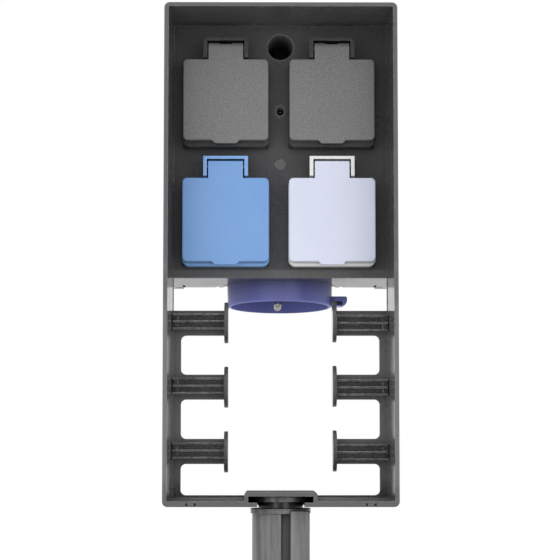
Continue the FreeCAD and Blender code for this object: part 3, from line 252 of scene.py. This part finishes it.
def moulded_grain():
    """Spark-eroded mould grain with flow marks: its height, a slow change of tone and specks."""
    settings = {"Grain": 2200.0, "Flow": 22.0}
    group, given, result = new_group("moulded_grain", settings, ("Height", "Tone", "Speckle"))
    place = object_place(group)
    fine = noise(group, place, given.outputs["Grain"], Detail=3.0, Roughness=0.6)
    flow = noise(
        group, place, given.outputs["Flow"], Detail=4.0, Roughness=0.55, Distortion=0.6
    )
    specks = noise(group, place, 1150.0, Detail=2.0, Roughness=0.5)
    pits = node(group, "ShaderNodeTexVoronoi", feature="SMOOTH_F1")
    group.links.new(place, pits.inputs["Vector"])
    group.links.new(given.outputs["Grain"], pits.inputs["Scale"])
    height = maths(group, "ADD", fine, pits.outputs["Distance"])
    group.links.new(height, result.inputs["Height"])
    group.links.new(ramp(group, flow, 0.34, 0.66), result.inputs["Tone"])
    group.links.new(ramp(group, specks, 0.38, 0.68), result.inputs["Speckle"])
    return group


def worn_and_highlit_edges():
    """Edges softened by a small radius, and where they are rubbed: a mask broken up by noise. On
    the plastics this mask also carries painted highlight where edges catch the light.
    """
    settings = {"Reach": 0.0006, "Patches": 260.0}
    group, given, result = new_group("worn_and_highlit_edges", settings, ("Wear", "Normal"))
    softened = node(group, "ShaderNodeBevel", samples=6)
    group.links.new(given.outputs["Reach"], softened.inputs["Radius"])
    face = node(group, "ShaderNodeNewGeometry")
    along = node(group, "ShaderNodeVectorMath", operation="DOT_PRODUCT")
    group.links.new(softened.outputs[0], along.inputs[0])
    group.links.new(face.outputs["Normal"], along.inputs[1])
    edge = ramp(group, along.outputs["Value"], 0.985, 0.86)
    patches = noise(
        group, object_place(group), given.outputs["Patches"], Detail=5.0, Roughness=0.65
    )
    rubbed = product(group, edge, ramp(group, patches, 0.36, 0.6))
    group.links.new(rubbed, result.inputs["Wear"])
    group.links.new(softened.outputs[0], result.inputs["Normal"])
    return group


def settled_dust():
    """Pale dust that gathers in patches on upward faces, and a mask of the faces that lie level."""
    group, given, result = new_group("settled_dust", {"Patches": 60.0}, ("Dust", "Upward"))
    rise = axes(group, node(group, "ShaderNodeNewGeometry").outputs["Normal"])["Z"]
    cloud = noise(
        group, object_place(group), given.outputs["Patches"], Detail=6.0, Roughness=0.7
    )
    held = ramp(group, rise, 0.2, 0.95, 0.12, 1.0)
    dust = product(group, held, ramp(group, cloud, 0.42, 0.72))
    group.links.new(dust, result.inputs["Dust"])
    group.links.new(ramp(group, rise, 0.7, 0.98), result.inputs["Upward"])
    return group


GRAIN = moulded_grain()
WORN_AND_HIGHLIT_EDGES = worn_and_highlit_edges()
DUST = settled_dust()


def grouped(tree, group, **values):
    """The group placed in a material with its own values."""
    made = node(tree, "ShaderNodeGroup")
    made.node_tree = group
    for name, value in values.items():
        made.inputs[name].default_value = value
    return made


def tint(tree, mask, under, over, share=1.0):
    """The under colour, or output, turned to the over colour by a share of the mask."""
    mix = node(tree, "ShaderNodeMix", data_type="RGBA")
    if share < 1:
        mask = ramp(tree, mask, 0, 1, 0, share)
    tree.links.new(mask, mix.inputs["Factor"])
    if isinstance(under, tuple):
        mix.inputs[MIX_UNDER].default_value = (*under, 1)
    else:
        tree.links.new(under, mix.inputs[MIX_UNDER])
    mix.inputs[MIX_OVER].default_value = (*over, 1)
    return mix.outputs[MIX_RESULT]


def between(tree, source, low, high, fade):
    """1 from low to high, fading to 0 just inside both."""
    above = ramp(tree, source, low, low + fade)
    return product(tree, above, ramp(tree, source, high, high - fade))


def round_patch(tree, height, radius):
    """1 round the line that runs back in the middle at this height, up to the cover's back."""
    place = object_place(tree)
    flat = node(tree, "ShaderNodeVectorMath", operation="MULTIPLY")
    flat.inputs[1].default_value = (1, 0, 1)
    away = node(tree, "ShaderNodeVectorMath", operation="DISTANCE")
    away.inputs[1].default_value = (0, 0, height)
    tree.links.new(place, flat.inputs[0])
    tree.links.new(flat.outputs[0], away.inputs[0])
    inside = ramp(tree, axes(tree, place)["Y"], WELL_END, WELL_END - PATCH_EDGE)
    disc = ramp(tree, away.outputs["Value"], radius, radius - PATCH_EDGE)
    return product(tree, inside, disc)


def new_finish(name):
    """A material with its tree and its shader."""
    made = bpy.data.materials.new(name)
    made.use_nodes = True
    return made, made.node_tree, made.node_tree.nodes["Principled BSDF"]


def emboss(tree, shader, height, edges, strength, depth):
    """The height as relief of this depth on the softened edges."""
    bump = node(tree, "ShaderNodeBump", Strength=strength, Distance=depth)
    tree.links.new(height, bump.inputs["Height"])
    tree.links.new(edges.outputs["Normal"], bump.inputs["Normal"])
    tree.links.new(bump.outputs[0], shader.inputs["Normal"])


def plastic(
    name,
    dark,
    light,
    worn,
    roughness,
    grain=2200.0,
    depth=0.00001,
    reach=0.0006,
    dust=0.12,
    edge_wear_and_highlight=0.6,
    speckle=0.1,
    gloss=0.5,
    crease_shade=0.0,
    crease_reach=0.004,
    painted_light_and_marks=None,
    matt_place=None,
):
    """Moulded plastic: two close tones, fine specks, pale edges that are partly rubbed and partly
    painted highlight, a little dust and a grain. Seen along its face, it mirrors more sharply.
    Painted shade darkens its creases. A function given for the piece paints light, shade and marks
    onto its places, and matt_place is one that masks a dull place."""
    made, tree, shader = new_finish(name)
    shader.inputs["Specular IOR Level"].default_value = gloss
    skin = grouped(tree, GRAIN, Grain=grain)
    edges = grouped(tree, WORN_AND_HIGHLIT_EDGES, Reach=reach)
    film = grouped(tree, DUST)

    colour = tint(tree, skin.outputs["Tone"], dark, light)
    if painted_light_and_marks:
        colour = painted_light_and_marks(tree, colour)
    colour = tint(tree, skin.outputs["Speckle"], colour, worn, speckle)
    # Pale edges: partly wear and partly painted highlight where edges catch the light.
    colour = tint(tree, edges.outputs["Wear"], colour, worn, edge_wear_and_highlight)
    colour = tint(tree, film.outputs["Dust"], colour, DUST_COLOUR, dust)
    # Painted shade: creases are darkened where ambient occlusion finds faces close by.
    if crease_shade:
        crease = node(tree, "ShaderNodeAmbientOcclusion", samples=8, Distance=crease_reach)
        in_shade = ramp(tree, crease.outputs["AO"], 0.9, 0.4)
        colour = tint(tree, in_shade, colour, CREASE_SHADE_COLOUR, crease_shade)
    tree.links.new(colour, shader.inputs["Base Color"])

    uneven = ramp(
        tree, skin.outputs["Tone"], 0, 1, roughness - SMOOTHER, roughness + ROUGHER
    )
    slant = node(tree, "ShaderNodeLayerWeight").outputs["Facing"]
    rough = product(tree, uneven, ramp(tree, slant, 0.75, 0.97, 1, ALONG_FACE))
    for blunted, amount in (("Dust", DUST_BLUNTS), ("Upward", LEVEL_BLUNTS)):
        more = ramp(tree, film.outputs[blunted], 0, 1, 0, amount)
        rough = maths(tree, "ADD", rough, more, clamp=True)
    if matt_place:
        rough = maths(tree, "MAXIMUM", rough, ramp(tree, matt_place(tree), 0, 1, 0, MATT))
    tree.links.new(rough, shader.inputs["Roughness"])
    emboss(tree, shader, skin.outputs["Height"], edges, strength=0.5, depth=depth)
    return made


def dress(names, finish):
    """The finish as these nodes' only material."""
    for name in names:
        mesh = cad[name].data
        mesh.materials.clear()
        mesh.materials.append(finish)


def housing_painted_light_and_marks(tree, colour):
    """Painted light on the walls, panel lip, lower frame, rim and hanging well, and pale patches
    down the panel's middle at the gate mark and round the middle screw.
    """
    place = axes(tree, object_place(tree))
    facing = axes(tree, node(tree, "ShaderNodeNewGeometry").outputs["Normal"])["Y"]
    # Painted light: faces that don't look forward, such as the inner walls, are painted paler where
    # the real ones mirror the bright surround.
    walls = ramp(tree, facing, -0.8, -0.4)
    colour = tint(tree, walls, colour, (0.082, 0.082, 0.084))
    # Painted light: a paler band along the panel's foot, where it comes out of the hood's shade.
    lip = between(tree, place["Z"], PANEL_FOOT - LIP_EDGE, PANEL_FOOT + LIP_HEIGHT, LIP_EDGE)
    forward = ramp(tree, facing, -0.4, -0.8)
    colour = tint(tree, product(tree, lip, forward), colour, (0.1, 0.1, 0.1))
    # Painted light: the lower frame is painted paler, as it lies open to more light than the panel
    # under the hood.
    lower_frame = between(tree, place["Z"], HOUSING_FOOT + FRAME_EDGE, FRAME_TOP, FRAME_EDGE)
    colour = tint(tree, lower_frame, colour, (0.14, 0.14, 0.141))
    # Painted highlight along the front of the rim.
    rim = ramp(tree, place["Y"], RIM_FRONT + 0.0012, RIM_FRONT + 0.0003)
    colour = tint(tree, rim, colour, (0.15, 0.15, 0.151), share=0.5)
    # Painted light: the inside of the hanging well is painted paler.
    well = round_patch(tree, HANGING_WELL, radius=0.0078)
    colour = tint(tree, well, colour, (0.3, 0.3, 0.3), share=0.4)
    gate = round_patch(tree, GATE_MARK, radius=0.0031)
    colour = tint(tree, gate, colour, (0.12, 0.12, 0.12), share=0.8)
    screw_rim = round_patch(tree, CENTRE_SCREW, radius=0.0044)
    return tint(tree, screw_rim, colour, (0.13, 0.13, 0.13), share=0.5)


charcoal = plastic(
    "charcoal_plastic",
    dark=(0.048, 0.048, 0.05),
    light=(0.058, 0.058, 0.059),
    worn=(0.34, 0.34, 0.34),
    roughness=0.3,
    dust=0.05,
    edge_wear_and_highlight=0.9,
    speckle=0.06,
    crease_shade=0.3,
    painted_light_and_marks=housing_painted_light_and_marks,
)
dress(["front_housing"], charcoal)


# Winding arms. Six small mouldings in the same charcoal plastic, three ribs on a spine and a
# flat disc on the end, pressed onto the lower frame's webs. Their edges are pale, partly rubbed
# by cable and partly painted highlight along the ribs.
arm_plastic = plastic(
    "arm_plastic",
    dark=(0.04, 0.04, 0.041),
    light=(0.055, 0.055, 0.056),
    worn=(0.55, 0.55, 0.55),
    roughness=0.3,
    reach=0.0007,
    edge_wear_and_highlight=1.0,
)
arms = ["winding_arm_%s_%d" % (side, number) for side in ("left", "right") for number in (1, 2, 3)]
dress(arms, arm_plastic)


# Rear cover. A deep box in the same plastic, smoother than the housing, screwed on from the back
# over a rubber frame. Its face behind the hanging well is matt, and painted paler as painted light
# inside the well.
def cover_well(tree):
    """The part of the cover that the hanging well shows."""
    return round_patch(tree, HANGING_WELL, radius=0.0081)


def cover_painted_light(tree, colour):
    """Painted light: paler behind the hanging well."""
    return tint(tree, cover_well(tree), colour, (0.18, 0.18, 0.19), share=0.9)


cover_plastic = plastic(
    "cover_plastic",
    dark=(0.055, 0.055, 0.056),
    light=(0.07, 0.07, 0.07),
    worn=(0.2, 0.2, 0.2),
    roughness=0.26,
    grain=1500.0,
    gloss=0.4,
    painted_light_and_marks=cover_painted_light,
    matt_place=cover_well,
)
dress(["rear_cover"], cover_plastic)


# Seals and gaskets. Black rubber, matt and faintly bloomed, cut or moulded flat: one behind each
# lid and each socket base, one round the cover and one under the inlet.
rubber = plastic(
    "black_rubber",
    dark=(0.018, 0.018, 0.018),
    light=(0.026, 0.026, 0.026),
    worn=(0.05, 0.05, 0.05),
    roughness=0.72,
    grain=900.0,
    dust=0.2,
)
sockets = ("dark_left", "dark_right", "blue", "grey")
dress(["cover_seal", "inlet_gasket"], rubber)
dress([name + "_socket_gasket" for name in sockets], rubber)
dress([name + "_lid_seal" for name in sockets], rubber)


# Socket bases and lids. Each socket is moulded in its circuit's colour: two in dark grey, one in
# blue and one in pale grey. The lids are satin, with edges that catch the light, and the dark
# sockets have nearly black bases. Painted shade darkens the creases of the light ones.
satin = {"roughness": 0.4, "depth": 0.00002, "dust": 0.06}
dark_grey = plastic(
    "dark_grey_plastic",
    dark=(0.15, 0.15, 0.15),
    light=(0.165, 0.165, 0.165),
    worn=(0.34, 0.34, 0.33),
    roughness=0.45,
    grain=1800.0,
    speckle=0.3,
)
dark_base = plastic(
    "dark_base_plastic",
    dark=(0.022, 0.022, 0.022),
    light=(0.03, 0.03, 0.03),
    worn=(0.3, 0.3, 0.29),
    roughness=0.36,
    reach=0.0004,
    edge_wear_and_highlight=0.9,
)
blue = plastic(
    "blue_plastic",
    dark=(0.172, 0.345, 0.68),
    light=(0.188, 0.365, 0.7),
    worn=(0.5, 0.66, 0.9),
    speckle=0.03,
    crease_shade=0.45,
    crease_reach=0.0015,
    **satin,
)
pale_grey = plastic(
    "pale_grey_plastic",
    dark=(0.67, 0.7, 0.84),
    light=(0.7, 0.73, 0.87),
    worn=(0.88, 0.89, 0.92),
    speckle=0.05,
    crease_shade=0.45,
    crease_reach=0.0015,
    **satin,
)
blue_base = plastic(
    "blue_base_plastic",
    dark=(0.18, 0.38, 0.72),
    light=(0.2, 0.4, 0.74),
    worn=(0.5, 0.66, 0.9),
    crease_shade=0.6,
    crease_reach=0.002,
    **satin,
)
pale_base = plastic(
    "pale_base_plastic",
    dark=(0.78, 0.77, 0.76),
    light=(0.81, 0.8, 0.79),
    worn=(0.95, 0.95, 0.94),
    crease_shade=0.5,
    crease_reach=0.002,
    **satin,
)
dress(["dark_left_lid", "dark_right_lid"], dark_grey)
dress(["dark_left_socket_base", "dark_right_socket_base"], dark_base)
dress(["blue_lid"], blue)
dress(["grey_lid"], pale_grey)
dress(["blue_socket_base"], blue_base)
dress(["grey_socket_base"], pale_base)


# Contact carriers, inlet carrier and terminal block. Dull heat-proof moulding compound, mottled,
# with sharp edges that chip pale.
compound = plastic(
    "moulding_compound",
    dark=(0.05, 0.048, 0.045),
    light=(0.075, 0.07, 0.066),
    worn=(0.16, 0.15, 0.14),
    roughness=0.55,
    grain=700.0,
    dust=0.1,
)
dress([name + "_contact_carrier" for name in sockets], compound)
dress(["inlet_carrier", "terminal_block"], compound)


# Contacts and pins. Pole contacts folded from sheet brass, earth clips of plated spring steel,
# turned inlet pins and dark hinge pins, all brushed along their length and dulled by handling.
STAIN_BLUNTS = 0.16  # roughness added where the metal is stained


def drawn_lines():
    """Fine lines along an object's Z, left by drawing or brushing: a height and a stain mask."""
    group, given, result = new_group("drawn_lines", {"Scale": 900.0}, ("Height", "Stain"))
    place = object_place(group)
    stretched = node(group, "ShaderNodeMapping", Scale=(1, 1, 0.06))
    group.links.new(place, stretched.inputs["Vector"])
    lines = noise(
        group, stretched.outputs[0], given.outputs["Scale"], Detail=3.0, Roughness=0.5
    )
    stain = noise(group, place, 190.0, Detail=5.0, Roughness=0.7)
    group.links.new(lines, result.inputs["Height"])
    group.links.new(ramp(group, stain, 0.45, 0.7), result.inputs["Stain"])
    return group


LINES = drawn_lines()


def metal(name, clean, stained, worn, roughness):
    """Bare or plated metal with drawn lines, stains and bright rubbed edges."""
    made, tree, shader = new_finish(name)
    shader.inputs["Metallic"].default_value = 1
    drawn = grouped(tree, LINES)
    edges = grouped(tree, WORN_AND_HIGHLIT_EDGES, Reach=0.00025, Patches=500.0)
    colour = tint(tree, drawn.outputs["Stain"], clean, stained)
    colour = tint(tree, edges.outputs["Wear"], colour, worn)
    tree.links.new(colour, shader.inputs["Base Color"])
    dull = ramp(tree, drawn.outputs["Stain"], 0, 1, roughness, roughness + STAIN_BLUNTS)
    tree.links.new(dull, shader.inputs["Roughness"])
    emboss(tree, shader, drawn.outputs["Height"], edges, strength=0.35, depth=0.00002)
    return made


brass = metal(
    "sheet_brass",
    clean=(0.76, 0.58, 0.28),
    stained=(0.5, 0.36, 0.17),
    worn=(0.9, 0.75, 0.42),
    roughness=0.26,
)
plated = metal(
    "plated_steel",
    clean=(0.62, 0.62, 0.6),
    stained=(0.45, 0.44, 0.42),
    worn=(0.8, 0.8, 0.78),
    roughness=0.3,
)
nickel = metal(
    "nickel_plate",
    clean=(0.6, 0.58, 0.54),
    stained=(0.4, 0.38, 0.35),
    worn=(0.85, 0.84, 0.8),
    roughness=0.1,
)
dark_steel = metal(
    "dark_steel",
    clean=(0.16, 0.16, 0.16),
    stained=(0.1, 0.1, 0.1),
    worn=(0.3, 0.3, 0.3),
    roughness=0.35,
)
dress([name + "_pole_contacts" for name in sockets], brass)
dress([name + "_earth_clip" for name in sockets], plated)
dress([name + "_lid_pin" for name in sockets], dark_steel)
dress(["inlet_pins"], nickel)


# Supply inlet collar. Violet-blue moulding with a slanted lip and a catch for the connector. The
# lip is rubbed paler by plugs, and painted shade darkens the inside of its mouth and its top
# under the cover.
inlet_blue = plastic(
    "inlet_blue_plastic",
    dark=(0.143, 0.16, 0.475),
    light=(0.16, 0.18, 0.53),
    worn=(0.3, 0.32, 0.55),
    roughness=0.4,
    depth=0.00002,
    reach=0.0005,
    dust=0.08,
    crease_shade=0.75,
    crease_reach=0.02,
)
dress(["inlet_collar"], inlet_blue)


# Leads and cores. A sheathed lead to each socket and three plain cores to the inlet, all in soft
# PVC inside the cover.
sheath = plastic(
    "black_sheath",
    dark=(0.02, 0.02, 0.021),
    light=(0.03, 0.03, 0.03),
    worn=(0.06, 0.06, 0.06),
    roughness=0.5,
    grain=500.0,
    dust=0.05,
)
core_blue = plastic(
    "core_sheath",
    dark=(0.04, 0.07, 0.28),
    light=(0.05, 0.085, 0.32),
    worn=(0.1, 0.14, 0.4),
    roughness=0.4,
    grain=500.0,
)
dress(["socket_leads"], sheath)
dress(["inlet_cores"], core_blue)


# Ground spike. Tough charcoal plastic, paler than the housing and streaked along its length from
# the mould. Painted shade darkens its creases, and its neck where it sits in the slot.
SPIKE_WORN = (0.34, 0.34, 0.33)
NECK_FOOT = HOUSING_FOOT - 0.0015
NECK_TOP = HOUSING_FOOT + 0.02


def spike_painted_shade_and_streaks(tree, colour):
    """Painted shade on the neck where it sits in the slot, and pale streaks up the post and blade.
    """
    height = axes(tree, object_place(tree))["Z"]
    # Painted shade: the neck is painted dark where the slot shades it.
    neck = between(tree, height, low=NECK_FOOT, high=NECK_TOP, fade=0.001)
    colour = tint(tree, neck, colour, (0.035, 0.035, 0.035))
    streaks = ramp(tree, grouped(tree, LINES, Scale=300.0).outputs["Height"], 0.4, 0.66)
    return tint(tree, streaks, colour, SPIKE_WORN, share=0.4)


spike_plastic = plastic(
    "spike_plastic",
    dark=(0.085, 0.085, 0.083),
    light=(0.15, 0.148, 0.144),
    worn=SPIKE_WORN,
    roughness=0.3,
    grain=1200.0,
    crease_shade=1.0,
    crease_reach=0.012,
    painted_light_and_marks=spike_painted_shade_and_streaks,
)
dress(["ground_spike"], spike_plastic)


# Lid springs. Torsion springs of plated wire round each hinge pin, eight turns between the lid's
# ears, with both ends hanging down behind the tongue.
WIRE_RADIUS = 0.00035
COIL_RADIUS = 0.00172
PITCH = 0.00076
TURNS = 8
STEPS_A_TURN = 20
LEG = 0.0044


def middle(node_name):
    """The middle of a node's box."""
    low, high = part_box(node_name)
    return (Vector(low) + Vector(high)) / 2


def only(kind, items):
    """The vertices, edges or faces among the items."""
    return [item for item in items if isinstance(item, kind)]


for name in sockets:
    axle = middle(name + "_lid_pin")
    start = axle + Vector((-TURNS * PITCH / 2, COIL_RADIUS, 0))
    shape = bmesh.new()
    bmesh.ops.create_circle(
        shape, cap_ends=True, segments=8, radius=WIRE_RADIUS, matrix=Matrix.Translation(start)
    )
    ends = shape.faces[:]
    coil = bmesh.ops.spin(
        shape,
        geom=shape.faces[:],
        cent=axle,
        axis=(1, 0, 0),
        dvec=(PITCH / STEPS_A_TURN, 0, 0),
        angle=TURNS * 2 * math.pi,
        steps=TURNS * STEPS_A_TURN,
        use_merge=False,
    )
    ends += only(bmesh.types.BMFace, coil["geom_last"])
    for end in ends:
        leg = bmesh.ops.extrude_face_region(shape, geom=[end])
        tip = only(bmesh.types.BMVert, leg["geom"])
        bmesh.ops.translate(shape, verts=tip, vec=(0, 0, -LEG))
        bmesh.ops.delete(shape, geom=[end], context="FACES_ONLY")
    bmesh.ops.recalc_face_normals(shape, faces=shape.faces)
    mesh = meshed(name + "_coil", shape)
    mesh.polygons.foreach_set("use_smooth", [True] * len(mesh.polygons))
    mesh.materials.append(plated)
    coil_piece = placed(name + "_coil", mesh)
    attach(coil_piece, "housing")
    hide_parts(name + "_lid_spring")


# Screws. Pan heads with a cross recess: five long dark ones down the cover's columns, and plated
# ones, four in each socket base and four in the inlet's flange.
FLAT_TOP = 0.8  # of the head's radius, and so are the two sizes of the cross
CROSS_HALF = 0.11
CROSS_REACH = 0.52
CROSS_DEPTH = 0.55  # of the head's height
CROSS_TAPER = 0.6  # the recess's floor against its mouth
CROWN = ((1.16, 0.12), (1.078, 0.2), (1.0, 0.68))  # each ring's growth, and share of the height
BASE_HOLE = 0.019  # from a socket's middle to its screws, across and up
HEAD_TURN = 0.9  # from one screw's cross to the next one's, in radians


def next_ring(shape, rim, scale, drop):
    """The rim's edges, extruded to a ring that is scaled and lowered."""
    grown = bmesh.ops.extrude_edge_only(shape, edges=rim)["geom"]
    ring = only(bmesh.types.BMVert, grown)
    bmesh.ops.scale(shape, vec=(scale, scale, 1), verts=ring)
    bmesh.ops.translate(shape, vec=(0, 0, -drop), verts=ring)
    return only(bmesh.types.BMEdge, grown)


def cross_head(radius, height, shank, whole):
    """One screw along -Z as a mesh, with the top of its head at the origin: the radius and height
    of its head, the radius of its shank, and its whole length."""
    shape = bmesh.new()
    bmesh.ops.create_circle(shape, cap_ends=True, segments=32, radius=radius * FLAT_TOP)
    half = radius * CROSS_HALF
    reach = radius * CROSS_REACH
    for axis in ((1, 0, 0), (0, 1, 0)):
        for distance in (-reach, -half, half, reach):
            everything = shape.verts[:] + shape.edges[:] + shape.faces[:]
            cut = Vector(axis) * distance
            bmesh.ops.bisect_plane(shape, geom=everything, plane_co=cut, plane_no=axis)
    rim = [edge for edge in shape.edges if edge.is_boundary]

    def in_cross(face):
        centre = face.calc_center_median()
        near, far = sorted((abs(centre.x), abs(centre.y)))
        return near < half and far < reach

    cross = [face for face in shape.faces if in_cross(face)]
    sunk = only(bmesh.types.BMVert, bmesh.ops.extrude_face_region(shape, geom=cross)["geom"])
    top = [
        face
        for face in shape.faces
        if in_cross(face) and all(vert not in sunk for vert in face.verts)
    ]
    bmesh.ops.delete(shape, geom=top, context="FACES_ONLY")
    bmesh.ops.scale(shape, vec=(CROSS_TAPER, CROSS_TAPER, 1), verts=sunk)
    bmesh.ops.translate(shape, vec=(0, 0, -height * CROSS_DEPTH), verts=sunk)

    for growth, share in CROWN:
        rim = next_ring(shape, rim, growth, height * share)
    rim = next_ring(shape, rim, shank / radius, 0.0)
    rim = next_ring(shape, rim, 1.0, whole - height - shank)
    rim = next_ring(shape, rim, 0.3, shank)
    bmesh.ops.holes_fill(shape, edges=rim)
    bmesh.ops.remove_doubles(shape, verts=shape.verts, dist=0.000001)
    bmesh.ops.recalc_face_normals(shape, faces=shape.faces)
    return meshed("cross_head_screw", shape)


def screw_set(name, screw, turn, places, replaced, finish=plated):
    """Copies of one screw, turned to their holes, as a single piece."""
    shape = bmesh.new()
    for number, place in enumerate(places):
        known = len(shape.verts)
        shape.from_mesh(screw)
        shape.verts.ensure_lookup_table()
        seat = Matrix.Translation(place) @ turn @ Matrix.Rotation(number * HEAD_TURN, 4, "Z")
        bmesh.ops.transform(shape, matrix=seat, verts=shape.verts[known:])
    mesh = meshed(name, shape)
    mesh.materials.append(finish)
    piece = placed(name, mesh)
    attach(piece, "housing")
    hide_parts(replaced)


def corners(across, back, up):
    """Every point with one of these X, Y and Z."""
    return [Vector((x, y, z)) for x in across for y in back for z in up]


upright = Matrix.Identity(4)
forward = Matrix.Rotation(math.radians(90), 4, "X")
backward = Matrix.Rotation(math.radians(-90), 4, "X")

low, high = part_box("cover_screws")
head = 0.0035  # the head's radius, by which the screws' box reaches past their axes
cover_holes = corners(
    across=(low[0] + head, high[0] - head), back=(high[1],), up=(low[2] + head, high[2] - head)
)
cover_holes.append(Vector((0, high[1], CENTRE_SCREW)))
long_screw = cross_head(radius=head, height=0.0026, shank=0.0016, whole=high[1] - low[1])
screw_set("long_screws", long_screw, backward, cover_holes, "cover_screws", dark_steel)

low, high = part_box("socket_screws")
base_holes = []
for name in sockets:
    x, _, z = middle(name + "_contact_carrier")
    base_holes += corners(
        across=(x - BASE_HOLE, x + BASE_HOLE), back=(low[1],), up=(z - BASE_HOLE, z + BASE_HOLE)
    )
short_screw = cross_head(radius=0.0029, height=0.0015, shank=0.00145, whole=high[1] - low[1])
screw_set("base_screws", short_screw, forward, base_holes, "socket_screws")

low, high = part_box("inlet_screws")
head = 0.003
flange_holes = corners(
    across=(low[0] + head, high[0] - head), back=(low[1] + head, high[1] - head), up=(high[2],)
)
flange_screw = cross_head(radius=head, height=0.0022, shank=0.0016, whole=high[2] - low[2])
screw_set("flange_screws", flange_screw, upright, flange_holes, "inlet_screws")
